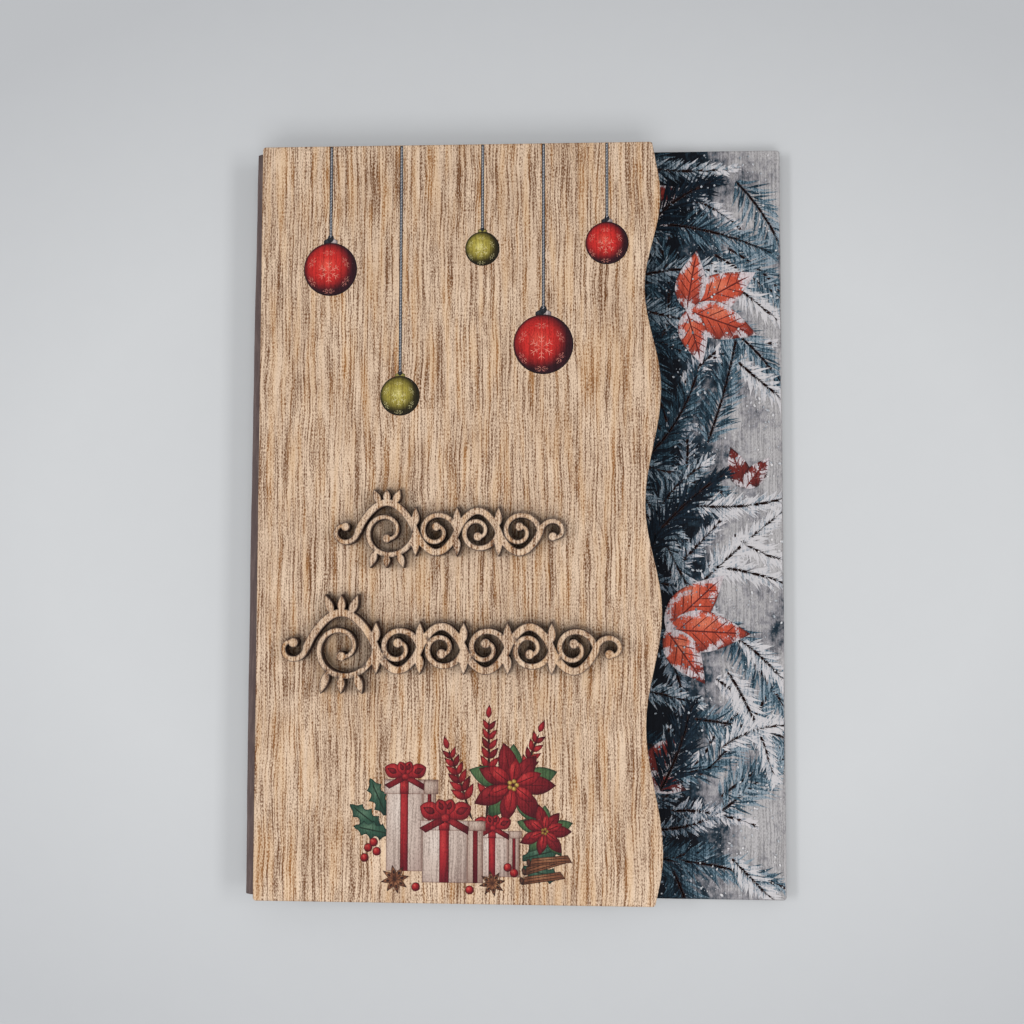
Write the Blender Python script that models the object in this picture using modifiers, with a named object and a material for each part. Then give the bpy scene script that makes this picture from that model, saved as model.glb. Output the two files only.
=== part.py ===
"""Wooden money holder: a booklet of laser-cut oak-faced sheets with a cloth spine.

A printed back panel carries a three-sided frame, and banknotes lie in the space inside it.
A cover with a wavy edge closes over them and turns on a strip of book cloth, which is glued to
the inner faces of the back panel and the cover and folds out between their left edges.
Two pieces of openwork scrollwork stand on the cover.

Lengths are in metres and +Z is up. The holder lies closed on its back, its spine on the left.
The origin is in the middle of its box, at the bottom.
"""

import math

import bmesh
import bpy
from mathutils import Vector

MM = 0.001
COLLECTION_NAME = "wooden_money_holder"
GUIDE_COLLECTION_NAME = "guides"

# Sheets
PANEL_LENGTH = 170.0 * MM
BACK_WIDTH = 118.5 * MM
BACK_THICKNESS = 3.0 * MM
COVER_WIDTH = 88.8 * MM
COVER_THICKNESS = 3.0 * MM
FRAME_THICKNESS = 3.0 * MM
CORNER_RADIUS = 0.7 * MM
SEAT_GAP = 0.3 * MM

# Wavy edge of the cover: a turning point at each share of the length, a trough first
WAVE_DEPTH = 1.8 * MM
WAVE_TURN_shares = (-0.065, 0.068, 0.229, 0.377, 0.518, 0.671, 0.804, 0.927, 1.059)
WAVE_STEPS = 8

# Frame for the banknotes
RAIL_WIDTH = 5.0 * MM
FRAME_SETBACK = 0.5 * MM
FRAME_MARGIN = 1.0 * MM
RECESS_RADIUS = 4.0 * MM

# Cloth strip of the spine
STRIP_THICKNESS = 0.5 * MM
STRIP_FLANGE = 12.0 * MM
STRIP_SETBACK = 0.5 * MM
STRIP_BULGE = 2.9 * MM
STRIP_EASE = 0.6 * MM
BULGE_PEAK_share = 0.27
FOLD_STEPS = 10
STRIP_STATIONS = 10
HINGE_REACH = 2.5 * MM

# Scrollwork
ORNAMENT_THICKNESS = 3.0 * MM
STEM_PACE = 0.8
CURL_PACE = 0.8
LEAF_PACE = 0.8
CURL_TURNS = 1.25
TAIL_TURNS = 0.8

# Parts of a bay, and of the stem's width
TAIL_share = 0.34
CURL_END_share = 0.12
TAIL_END_share = 0.36
CURL_share = 0.8
TIP_share = 0.52
BUD_share = 0.62
LEAF_share = 1.1
SPRIG_ROOT_share = 0.12
SPRIG_TIP_share = 0.6
CROWN_FALL_share = 0.86

# Crown leaves: each one's place along its line, and its bearing in half turns
CROWN_shares = ((0.38, 0.62), (0.5, 0.5), (0.62, 0.38))
CROWN_CURL_shares = ((0.14, 0.4), (0.2, 0.5), (0.26, 0.6))

# Each bay's width, in plain bays
UPPER_BAY_shares = (1.4, 1, 1, 1)
LOWER_BAY_shares = (1.6, 1, 1, 1, 1, 1)

# Each row's whole size, its stem, and where its middle line runs
UPPER_WIDTH = 51.5 * MM
UPPER_HEIGHT = 17.5 * MM
UPPER_STEM = 1.6 * MM
UPPER_CENTRE_X = 43.5 * MM
UPPER_LINE_Y = 81.8 * MM
LOWER_WIDTH = 75.6 * MM
LOWER_HEIGHT = 21.9 * MM
LOWER_STEM = 1.75 * MM
LOWER_CENTRE_X = 44.0 * MM
LOWER_LINE_Y = 56.1 * MM

# Fineness of the curved outlines
CORNER_STEPS = 4
STEM_STEPS = 16
CURL_STEPS = 30
LEAF_STEPS = 7
ROUND_STEPS = 16
WELD_DISTANCE = 0.01 * MM
CUT_OVERRUN = 0.5 * MM

# Places that follow from the sizes
BOOK_LEFT = (STRIP_BULGE - BACK_WIDTH) / 2
BOOK_NEAR = -PANEL_LENGTH / 2
FRAME_BOTTOM = BACK_THICKNESS + SEAT_GAP
COVER_BOTTOM = FRAME_BOTTOM + FRAME_THICKNESS + SEAT_GAP
COVER_TOP = COVER_BOTTOM + COVER_THICKNESS
ORNAMENT_BOTTOM = COVER_TOP + SEAT_GAP
FRAME_LEFT = STRIP_FLANGE + SEAT_GAP
FRAME_RIGHT = COVER_WIDTH - WAVE_DEPTH - FRAME_MARGIN
HINGE_PLACE = Vector((BOOK_LEFT - HINGE_REACH, 0, COVER_BOTTOM))


def clear_scene():
    """Remove every object, so that the script can be run again."""
    for old in list(bpy.data.objects):
        bpy.data.objects.remove(old, do_unlink=True)


def new_collection(name):
    """A fresh collection linked to the scene."""
    old = bpy.data.collections.get(name)
    if old is not None:
        bpy.data.collections.remove(old)
    collection = bpy.data.collections.new(name)
    bpy.context.scene.collection.children.link(collection)
    return collection


def new_material(name, colour, roughness):
    """A plain surface with one Principled shader."""
    material = bpy.data.materials.new(name)
    material.use_nodes = True
    shader = material.node_tree.nodes["Principled BSDF"]
    shader.inputs["Base Color"].default_value = (*colour, 1)
    shader.inputs["Roughness"].default_value = roughness
    shader.inputs["Metallic"].default_value = 0
    return material


def arc(centre, radius, start, end, steps):
    """Points on a round stretch, from one angle to another."""
    angles = [start + (end - start) * step / steps for step in range(steps + 1)]
    return [(centre[0] + radius * math.cos(a), centre[1] + radius * math.sin(a)) for a in angles]


def rounded(corners):
    """An outline whose corners, given as x, y and radius, are turned into arcs."""
    outline = []
    for index, (x, y, radius) in enumerate(corners):
        corner = Vector((x, y))
        if not radius:
            outline.append((x, y))
            continue
        before = (Vector(corners[index - 1][:2]) - corner).normalized()
        after = (Vector(corners[(index + 1) % len(corners)][:2]) - corner).normalized()
        half_angle = before.angle(after) / 2
        centre = corner + (before + after).normalized() * radius / math.sin(half_angle)
        first = corner + before * radius / math.tan(half_angle) - centre
        last = corner + after * radius / math.tan(half_angle) - centre
        start = math.atan2(first.y, first.x)
        sweep = math.atan2(first.x * last.y - first.y * last.x, first.dot(last))
        outline += arc(centre, radius, start, start + sweep, CORNER_STEPS)
    return outline


def back_outline():
    """The back panel, a plain rectangle with its corners eased."""
    return rounded([
        (0, 0, CORNER_RADIUS),
        (BACK_WIDTH, 0, CORNER_RADIUS),
        (BACK_WIDTH, PANEL_LENGTH, CORNER_RADIUS),
        (0, PANEL_LENGTH, CORNER_RADIUS),
    ])


def frame_outline():
    """The frame: a near rail, an outer rail and a far rail, open towards the spine."""
    near = FRAME_SETBACK
    far = PANEL_LENGTH - FRAME_SETBACK
    return rounded([
        (FRAME_LEFT, near, 0),
        (FRAME_RIGHT, near, CORNER_RADIUS),
        (FRAME_RIGHT, far, CORNER_RADIUS),
        (FRAME_LEFT, far, 0),
        (FRAME_LEFT, far - RAIL_WIDTH, 0),
        (FRAME_RIGHT - RAIL_WIDTH, far - RAIL_WIDTH, RECESS_RADIUS),
        (FRAME_RIGHT - RAIL_WIDTH, near + RAIL_WIDTH, RECESS_RADIUS),
        (FRAME_LEFT, near + RAIL_WIDTH, 0),
    ])


def wave_points():
    """The cover's wavy edge, half a cosine from each turning point to the next."""
    points = []
    side = -1
    for low, high in zip(WAVE_TURN_shares, WAVE_TURN_shares[1:]):
        for step in range(WAVE_STEPS):
            share = low + (high - low) * step / WAVE_STEPS
            reach = COVER_WIDTH + side * WAVE_DEPTH * math.cos(math.pi * step / WAVE_STEPS)
            points.append((reach, share * PANEL_LENGTH))
        side = -side
    return points


def cover_outline():
    """The cover: straight at the spine and at both ends, wavy at its opening edge."""
    wave = wave_points()
    inner = [(x, y, 0) for x, y in wave if CORNER_RADIUS * 2 < y < PANEL_LENGTH - CORNER_RADIUS * 2]
    near_reach = min(wave, key=lambda point: abs(point[1]))[0]
    far_reach = min(wave, key=lambda point: abs(point[1] - PANEL_LENGTH))[0]
    return rounded(
        [(0, 0, CORNER_RADIUS), (near_reach, 0, CORNER_RADIUS)]
        + inner
        + [(far_reach, PANEL_LENGTH, CORNER_RADIUS), (0, PANEL_LENGTH, CORNER_RADIUS)]
    )


def stroke(points, widths):
    """A band along a line of points, with its own width at each and round ends."""
    left = []
    right = []
    last = len(points) - 1
    for index, point in enumerate(points):
        before = Vector(points[max(index - 1, 0)])
        after = Vector(points[min(index + 1, last)])
        across = (after - before).normalized().orthogonal() * widths[index] / 2
        left.append(tuple(Vector(point) + across))
        right.append(tuple(Vector(point) - across))
    first_way = Vector(points[1]) - Vector(points[0])
    last_way = Vector(points[-1]) - Vector(points[-2])
    start = math.atan2(first_way.y, first_way.x) + math.pi / 2
    end = math.atan2(last_way.y, last_way.x) - math.pi / 2
    start_cap = arc(points[0], widths[0] / 2, start, start + math.pi, CORNER_STEPS)
    end_cap = arc(points[-1], widths[-1] / 2, end, end + math.pi, CORNER_STEPS)
    return start_cap[1:-1] + right + end_cap[1:-1] + left[::-1]


def leaf(base, angle, limit, width):
    """A pointed leaf that grows from a base point until its tip is at the limit above or below."""
    along = Vector((math.cos(angle), math.sin(angle)))
    across = along.orthogonal()
    foot = Vector(base)
    length = (limit - abs(foot.y)) / abs(along.y)
    sides = []
    for step in range(1, LEAF_STEPS):
        share = step / LEAF_STEPS
        swell = math.sin(math.pi * share ** LEAF_PACE) * width / 2
        sides.append((share * length, swell))
    one = [tuple(foot + along * far - across * swell) for far, swell in sides]
    other = [tuple(foot + along * far + across * swell) for far, swell in sides[::-1]]
    return [tuple(foot)] + one + [tuple(foot + along * length)] + other


def stem_line(ends):
    """Points of the waving stem, one arch over each bay, first above the middle line and then below."""
    points = []
    for number, (low, high) in enumerate(zip(ends, ends[1:])):
        side = 1 if number % 2 == 0 else -1
        for step in range(STEM_STEPS):
            share = step / STEM_STEPS
            rise = math.sin(math.pi * share) ** STEM_PACE * (high - low) / 2
            points.append((low + (high - low) * share, side * rise))
    return points + [(ends[-1], 0)]


def curl_line(centre, radius, tip_radius, angle, turns):
    """Points of a spiral that winds inwards from its outer radius."""
    points = []
    for step in range(CURL_STEPS + 1):
        share = step / CURL_STEPS
        reach = radius + (tip_radius - radius) * share ** CURL_PACE
        bearing = angle + math.tau * turns * share
        points.append((centre[0] + reach * math.cos(bearing), centre[1] + reach * math.sin(bearing)))
    return points


def curl_outlines(points, width):
    """A curl in two lengths, so that neither meets itself, and the round bud at its end."""
    taper = (TIP_share - CURL_share) / CURL_STEPS
    widths = [width * (CURL_share + taper * index) for index in range(len(points))]
    half = CURL_STEPS // 2
    return [
        stroke(points[:half + 1], widths[:half + 1]),
        stroke(points[half:], widths[half:]),
        arc(points[-1], width * BUD_share, 0, math.tau, ROUND_STEPS)[:-1],
    ]


def scroll_outlines(width, height, bay_shares, stem_width):
    """A running scroll: the stem arches over a curl in each bay, sprigs fill the gaps between the bays,
    and the first and widest bay has a crown of leaves above and below."""
    tail_reach = 1 - min(x for x, y in curl_line((0, 0), 1, TAIL_END_share, 0, -TAIL_TURNS))
    bay = (width - stem_width * CURL_share) / (sum(bay_shares) + 2 * TAIL_share * tail_reach)
    tail = bay * TAIL_share
    ends = [tail * tail_reach + stem_width * CURL_share / 2 - width / 2]
    for share in bay_shares:
        ends.append(ends[-1] + bay * share)
    stem = stem_line(ends)
    outlines = [stroke(stem, [stem_width] * len(stem))]
    curls = []
    for number, (low, high) in enumerate(zip(ends, ends[1:])):
        side = 1 if number % 2 == 0 else -1
        reach = (high - low) / 2
        curl = curl_line(((low + high) / 2, 0), reach, 2 * reach * CURL_END_share, 0, -side * CURL_TURNS)
        curls.append(curl)
        outlines += curl_outlines(curl, stem_width)
    leaf_width = stem_width * LEAF_share
    for root in ends[1:-1]:
        for side in (1, -1):
            foot = (root, side * bay * SPRIG_ROOT_share)
            outlines.append(leaf(foot, side * math.pi / 2, bay * SPRIG_TIP_share, leaf_width))
    crown = height / (1 + CROWN_FALL_share)
    for share, lean in CROWN_shares:
        outlines.append(leaf(stem[round(STEM_STEPS * share)], math.pi * lean, crown, leaf_width))
    for share, lean in CROWN_CURL_shares:
        outlines.append(leaf(curls[0][round(CURL_STEPS * share)], -math.pi * lean, height - crown, leaf_width))
    far_turns = TAIL_TURNS if len(bay_shares) % 2 else -TAIL_TURNS
    near_tail = curl_line((ends[0] - tail, 0), tail, tail * TAIL_END_share, 0, -TAIL_TURNS)
    far_tail = curl_line((ends[-1] + tail, 0), tail, tail * TAIL_END_share, math.pi, far_turns)
    return outlines + curl_outlines(near_tail, stem_width) + curl_outlines(far_tail, stem_width)


def flat_sheet(name, outline, thickness, place):
    """A sheet cut to a closed outline, as a mesh whose caps are welded to its walls."""
    curve = bpy.data.curves.new(name, "CURVE")
    curve.dimensions = "2D"
    curve.fill_mode = "BOTH"
    curve.extrude = thickness / 2
    spline = curve.splines.new("POLY")
    spline.points.add(len(outline) - 1)
    for point, (x, y) in zip(spline.points, outline):
        point.co = (x, y, 0, 1)
    spline.use_cyclic_u = True
    drawn = bpy.data.objects.new(name + "_outline", curve)
    drawn.location = Vector(place) + Vector((0, 0, thickness / 2))
    bpy.context.scene.collection.objects.link(drawn)
    bpy.context.view_layer.update()
    mesh = bpy.data.meshes.new_from_object(drawn.evaluated_get(bpy.context.evaluated_depsgraph_get()))
    made = bmesh.new()
    made.from_mesh(mesh)
    bmesh.ops.remove_doubles(made, verts=made.verts, dist=WELD_DISTANCE)
    made.to_mesh(mesh)
    made.free()
    sheet = bpy.data.objects.new(name, mesh)
    sheet.matrix_world = drawn.matrix_world
    bpy.data.objects.remove(drawn, do_unlink=True)
    return sheet


def make_sheet(name, outline, thickness, bottom, collection, material):
    """One flat piece of the booklet, its outline measured from the book's near left corner."""
    sheet = flat_sheet(name, outline, thickness, (BOOK_LEFT, BOOK_NEAR, bottom))
    sheet.data.materials.clear()
    sheet.data.materials.append(material)
    collection.objects.link(sheet)
    return sheet


def make_ornament(name, sizes, collection, guides, material):
    """Scrollwork: strokes of unlike depth are joined, then trimmed to one flat sheet."""
    width, height, centre_x, line_y, bay_shares, stem_width = sizes
    outlines = scroll_outlines(width, height, bay_shares, stem_width)
    strokes = []
    for number, outline in enumerate(outlines):
        overrun = CUT_OVERRUN * (1 + number / len(outlines))
        place = (BOOK_LEFT + centre_x, BOOK_NEAR + line_y, ORNAMENT_BOTTOM - overrun)
        strokes.append(flat_sheet(f"{name}_stroke_{number}", outline, ORNAMENT_THICKNESS + 2 * overrun, place))
    ornament = strokes[0]
    ornament.name = name
    ornament.data.materials.clear()
    ornament.data.materials.append(material)
    collection.objects.link(ornament)
    others = bpy.data.collections.new(name + "_strokes")
    guides.children.link(others)
    for other in strokes[1:]:
        hide_guide(other, others)
    join = ornament.modifiers.new("join_strokes", "BOOLEAN")
    join.operation = "UNION"
    join.solver = "EXACT"
    join.operand_type = "COLLECTION"
    join.collection = others
    slab = flat_sheet(
        name + "_slab",
        rounded([(-width, -height, 0), (width, -height, 0), (width, height, 0), (-width, height, 0)]),
        ORNAMENT_THICKNESS,
        (BOOK_LEFT + centre_x, BOOK_NEAR + line_y, ORNAMENT_BOTTOM),
    )
    hide_guide(slab, guides)
    trim = ornament.modifiers.new("trim_to_sheet", "BOOLEAN")
    trim.operation = "INTERSECT"
    trim.solver = "EXACT"
    trim.object = slab
    return ornament


def hide_guide(guide, collection):
    """Keep a stroke or a cutter out of sight."""
    collection.objects.link(guide)
    guide.hide_render = True
    guide.display_type = "WIRE"


def strip_section(bulge):
    """The strip seen from its end: a flange on the back panel, the fold, a flange under the cover."""
    low = BACK_THICKNESS + SEAT_GAP + STRIP_THICKNESS / 2
    high = COVER_BOTTOM - SEAT_GAP - STRIP_THICKNESS / 2
    middle = (low + high) / 2
    half_gap = (high - low) / 2
    fold = []
    for step in range(FOLD_STEPS + 1):
        angle = math.pi * step / FOLD_STEPS
        fold.append((-bulge * math.sin(angle), middle - half_gap * math.cos(angle)))
    return [(STRIP_FLANGE, low)] + fold + [(STRIP_FLANGE, high)]


def make_strip(name, collection, material):
    """The cloth strip of the spine, which bulges most below the middle of its length."""
    made = bmesh.new()
    rows = []
    run = PANEL_LENGTH - 2 * STRIP_SETBACK
    for station in range(STRIP_STATIONS + 1):
        share = station / STRIP_STATIONS
        ease = ((share - BULGE_PEAK_share) / (1 - BULGE_PEAK_share)) ** 2
        bulge = STRIP_BULGE - STRIP_THICKNESS / 2 - STRIP_EASE * ease
        y = STRIP_SETBACK + run * share
        rows.append([made.verts.new((x, y, z)) for x, z in strip_section(bulge)])
    for row, following in zip(rows, rows[1:]):
        for index in range(len(row) - 1):
            made.faces.new((row[index], row[index + 1], following[index + 1], following[index]))
    bmesh.ops.recalc_face_normals(made, faces=made.faces)
    mesh = bpy.data.meshes.new(name)
    made.to_mesh(mesh)
    made.free()
    mesh.materials.append(material)
    mesh.shade_smooth()
    strip = bpy.data.objects.new(name, mesh)
    strip.location = (BOOK_LEFT, BOOK_NEAR, 0)
    collection.objects.link(strip)
    wall = strip.modifiers.new("cloth_thickness", "SOLIDIFY")
    wall.thickness = STRIP_THICKNESS
    wall.offset = 0
    wall.use_even_offset = True
    return strip


def hang_on(piece, hinge):
    """Carry a piece on the hinge line without moving it."""
    place = piece.location.copy()
    piece.parent = hinge
    piece.location = place - hinge.location


def main():
    """Build the closed holder."""
    clear_scene()
    holder = new_collection(COLLECTION_NAME)
    guides = new_collection(GUIDE_COLLECTION_NAME)
    print_finish = new_material("printed_panel", (0.20, 0.24, 0.28), 0.55)
    frame_finish = new_material("raw_board", (0.32, 0.20, 0.11), 0.75)
    cover_finish = new_material("oak_face", (0.52, 0.36, 0.24), 0.6)
    strip_finish = new_material("book_cloth", (0.12, 0.085, 0.085), 0.7)
    upper_finish = new_material("oak_upper_scrollwork", (0.50, 0.35, 0.23), 0.6)
    lower_finish = new_material("oak_lower_scrollwork", (0.50, 0.35, 0.23), 0.6)

    make_sheet("back_panel", back_outline(), BACK_THICKNESS, 0, holder, print_finish)
    make_sheet("note_frame", frame_outline(), FRAME_THICKNESS, FRAME_BOTTOM, holder, frame_finish)
    make_strip("spine_strip", holder, strip_finish)
    cover = make_sheet("front_cover", cover_outline(), COVER_THICKNESS, COVER_BOTTOM, holder, cover_finish)
    upper = make_ornament(
        "upper_scrollwork",
        (UPPER_WIDTH, UPPER_HEIGHT, UPPER_CENTRE_X, UPPER_LINE_Y, UPPER_BAY_shares, UPPER_STEM),
        holder, guides, upper_finish,
    )
    lower = make_ornament(
        "lower_scrollwork",
        (LOWER_WIDTH, LOWER_HEIGHT, LOWER_CENTRE_X, LOWER_LINE_Y, LOWER_BAY_shares, LOWER_STEM),
        holder, guides, lower_finish,
    )

    hinge = bpy.data.objects.new("cover_hinge", None)
    hinge.location = HINGE_PLACE
    holder.objects.link(hinge)
    for piece in (cover, upper, lower):
        hang_on(piece, hinge)
    bpy.context.view_layer.update()


main()
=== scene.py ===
import logging
import math
import random
from collections.abc import Callable, Sequence
from dataclasses import dataclass, field
from enum import Enum
from typing import NamedTuple

import bmesh
import bpy
import numpy as np
from mathutils import Matrix, Vector
from mathutils.geometry import delaunay_2d_cdt


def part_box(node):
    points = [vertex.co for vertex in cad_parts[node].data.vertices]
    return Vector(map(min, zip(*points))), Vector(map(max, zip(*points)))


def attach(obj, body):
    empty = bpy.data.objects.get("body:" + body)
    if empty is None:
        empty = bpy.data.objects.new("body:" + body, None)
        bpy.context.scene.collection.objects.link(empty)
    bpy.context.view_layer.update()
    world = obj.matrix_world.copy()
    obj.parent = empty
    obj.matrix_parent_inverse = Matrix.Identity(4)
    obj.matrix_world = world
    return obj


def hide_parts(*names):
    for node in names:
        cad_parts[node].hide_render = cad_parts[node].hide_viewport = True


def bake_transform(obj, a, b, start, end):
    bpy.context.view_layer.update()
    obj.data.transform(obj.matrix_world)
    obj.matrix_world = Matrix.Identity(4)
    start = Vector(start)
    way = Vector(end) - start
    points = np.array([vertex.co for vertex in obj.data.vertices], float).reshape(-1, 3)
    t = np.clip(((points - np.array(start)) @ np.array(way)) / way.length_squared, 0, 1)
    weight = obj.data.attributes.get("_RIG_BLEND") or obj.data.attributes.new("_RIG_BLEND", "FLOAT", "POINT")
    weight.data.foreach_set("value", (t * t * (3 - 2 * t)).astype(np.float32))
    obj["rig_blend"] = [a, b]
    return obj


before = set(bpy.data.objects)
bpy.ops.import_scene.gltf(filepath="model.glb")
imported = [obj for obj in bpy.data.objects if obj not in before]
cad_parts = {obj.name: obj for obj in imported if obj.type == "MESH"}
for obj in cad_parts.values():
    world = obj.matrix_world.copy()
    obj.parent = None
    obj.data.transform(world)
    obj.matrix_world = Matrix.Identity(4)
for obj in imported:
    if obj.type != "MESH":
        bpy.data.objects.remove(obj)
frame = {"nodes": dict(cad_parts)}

LOG = logging.getLogger("money_holder")
MM = 0.001

Point = tuple[float, float]
Place = tuple[float, float, float]
Colour = tuple[float, float, float]
Stops = tuple[tuple[float, Colour], ...]
Outline = list[Point]
Faces = list[tuple[int, ...]]
Profile = Callable[[float], float]
Material = bpy.types.Material
Mesh = bpy.types.Mesh
Piece = bpy.types.Object
Socket = bpy.types.NodeSocket


def mm(*sizes: float) -> tuple[float, ...]:
    """Return sizes given in millimetres, in metres."""
    return tuple(size * MM for size in sizes)


def pigment(red: float, green: float, blue: float) -> Colour:
    """Turn a display colour into a scene-linear one.

    Args:
        red, green, blue: Display values from 0 to 255.

    Returns:
        The linear colour, each value from 0 to 1.
    """
    shares = (red / 255, green / 255, blue / 255)
    return tuple(s / 12.92 if s <= 0.04045 else ((s + 0.055) / 1.055) ** 2.4 for s in shares)


def inks(*stops: tuple[float, float, float, float]) -> Stops:
    """Turn rows of a place and a display colour into the stops of a ramp."""
    return tuple((place, pigment(*tone)) for place, *tone in stops)


def blend_colours(first: Colour, second: Colour, share: float) -> Colour:
    """Mix two colours, where share 0 gives the first and 1 the second."""
    return tuple(a + (b - a) * share for a, b in zip(first, second))


def smooth(low: float, high: float, value: float) -> float:
    """Ease from 0 at low to 1 at high."""
    share = min(max((value - low) / (high - low), 0.0), 1.0)
    return share * share * (3 - 2 * share)


class NodeBench:
    """Short calls that add linked nodes to one node tree."""

    def __init__(self, tree: bpy.types.NodeTree) -> None:
        """Work on one tree."""
        self.tree = tree

    def node(self, kind: str, inputs: dict | None = None, **settings: object) -> bpy.types.Node:
        """Add a node.

        Args:
            kind: The node's type name.
            inputs: Values or sockets, by input name or number.
            **settings: The node's own properties.

        Returns:
            The new node.
        """
        node = self.tree.nodes.new(kind)
        for key, value in settings.items():
            setattr(node, key, value)
        for key, value in (inputs or {}).items():
            self.feed(node.inputs[key], value)
        return node

    def add(self, kind: str, inputs: dict | None = None, **settings: object) -> Socket:
        """Add a node and return its first output."""
        return self.node(kind, inputs, **settings).outputs[0]

    def feed(self, socket: Socket, value: object) -> None:
        """Link a socket into an input, or set the input's own value."""
        if isinstance(value, Socket):
            self.tree.links.new(value, socket)
        else:
            socket.default_value = value

    def math(self, operation: str, *values: object) -> Socket:
        """Return the result of a math node."""
        return self.add("ShaderNodeMath", dict(enumerate(values)), operation=operation)

    def vectors(self, operation: str, *values: object) -> Socket:
        """Return the result of a vector math node."""
        return self.add("ShaderNodeVectorMath", dict(enumerate(values)), operation=operation)

    def vector(self, x: object = 0.0, y: object = 0.0, z: object = 0.0) -> Socket:
        """Return three numbers as one vector."""
        return self.add("ShaderNodeCombineXYZ", {0: x, 1: y, 2: z})

    def split(self, vector: object) -> Sequence[Socket]:
        """Return the three numbers of a vector."""
        return self.node("ShaderNodeSeparateXYZ", {0: vector}).outputs

    def stretch(self, value: object, span: Point, to: Point = (0.0, 1.0)) -> Socket:
        """Return a value moved from one span to another, kept inside the new span."""
        return self.add("ShaderNodeMapRange", {0: value, 1: span[0], 2: span[1], 3: to[0], 4: to[1]})


class Palette(NodeBench):
    """The node tree of one material, around its Principled shader."""

    def __init__(self, name: str, roughness: float, specular: float) -> None:
        """Make the material, with the values that are even all over set on the shader itself."""
        self.material = bpy.data.materials.new(name)
        self.material.use_nodes = True
        super().__init__(self.material.node_tree)
        self.shader = self.tree.nodes["Principled BSDF"]
        self.shader.inputs["Roughness"].default_value = roughness
        self.shader.inputs["Specular IOR Level"].default_value = specular

    def place(self, scale: Sequence[float], shift: float = 0.0) -> Socket:
        """Return the object's own coordinates, moved sideways and then stretched for each axis."""
        spot = self.node("ShaderNodeTexCoord").outputs["Object"]
        return self.vectors("MULTIPLY", self.vectors("ADD", spot, (shift, 0, 0)), scale)

    def noise(self, vector: object, detail: float = 2.0, roughness: float = 0.5) -> Socket:
        """Return a noise value from 0 to 1, one cell for each unit of the vector."""
        given = {"Vector": vector, "Scale": 1.0, "Detail": detail, "Roughness": roughness}
        return self.add("ShaderNodeTexNoise", given)

    def cloud(self, cell: Sequence[float], detail: float = 2.0, roughness: float = 0.5,
              shift: float = 0.0) -> Socket:
        """Return a noise laid on the object.

        Args:
            cell: The cell's sides across, along and, if it has one, up.
            detail, roughness: The noise's own settings.
            shift: How far the pattern is moved sideways.

        Returns:
            The value's socket.
        """
        scale = [1 / side for side in cell] + [0] * (3 - len(cell))
        return self.noise(self.place(scale, shift), detail, roughness)

    def ramp(self, factor: object, stops: Stops) -> Socket:
        """Return the colour that a factor picks from a row of stops.

        Args:
            factor: Where on the ramp the colour is picked.
            stops: Each colour with its place.

        Returns:
            The colour's socket.
        """
        node = self.node("ShaderNodeValToRGB", {0: factor})
        elements = node.color_ramp.elements
        while len(elements) < len(stops):
            elements.new(1.0)
        for element, (share, colour) in zip(elements, stops):
            element.position = share
            element.color = (*colour, 1.0)
        return node.outputs[0]

    def mix(self, factor: object, first: object, second: object, kind: str = "MIX") -> Socket:
        """Return two colours mixed or multiplied by a factor."""
        pair = [(*c, 1.0) if isinstance(c, tuple) else c for c in (first, second)]
        given = {0: factor, 6: pair[0], 7: pair[1]}
        return self.node("ShaderNodeMix", given, data_type="RGBA", blend_type=kind).outputs[2]

    def weigh(self, *parts: tuple[object, float]) -> Socket:
        """Return the sum of sockets, each times its own weight."""
        total = 0.0
        for socket, weight in parts:
            total = self.add("ShaderNodeMath", {0: socket, 1: weight, 2: total}, operation="MULTIPLY_ADD")
        return total

    def attribute(self, name: str, output: str = "Fac") -> Socket:
        """Return an attribute that the mesh carries."""
        return self.node("ShaderNodeAttribute", attribute_name=name).outputs[output]

    def emboss(self, height: object, strength: float, depth: float) -> None:
        """Give the shader a bump from a height."""
        bump = self.add("ShaderNodeBump", {"Height": height, "Strength": strength, "Distance": depth})
        self.feed(self.shader.inputs["Normal"], bump)

    def groove(self, depth: object, strength: float, reach: float) -> None:
        """Give the shader a bump that sinks where the depth is high."""
        self.emboss(self.math("SUBTRACT", 1.0, depth), strength, reach)

    def paint(self, colour: object) -> None:
        """Give the shader its base colour."""
        self.feed(self.shader.inputs["Base Color"], colour)


class GrainLayer(NamedTuple):
    """One noise of the grain: its cell across and along the board, its detail and its weight."""

    across: float
    along: float
    detail: float
    weight: float


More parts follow.
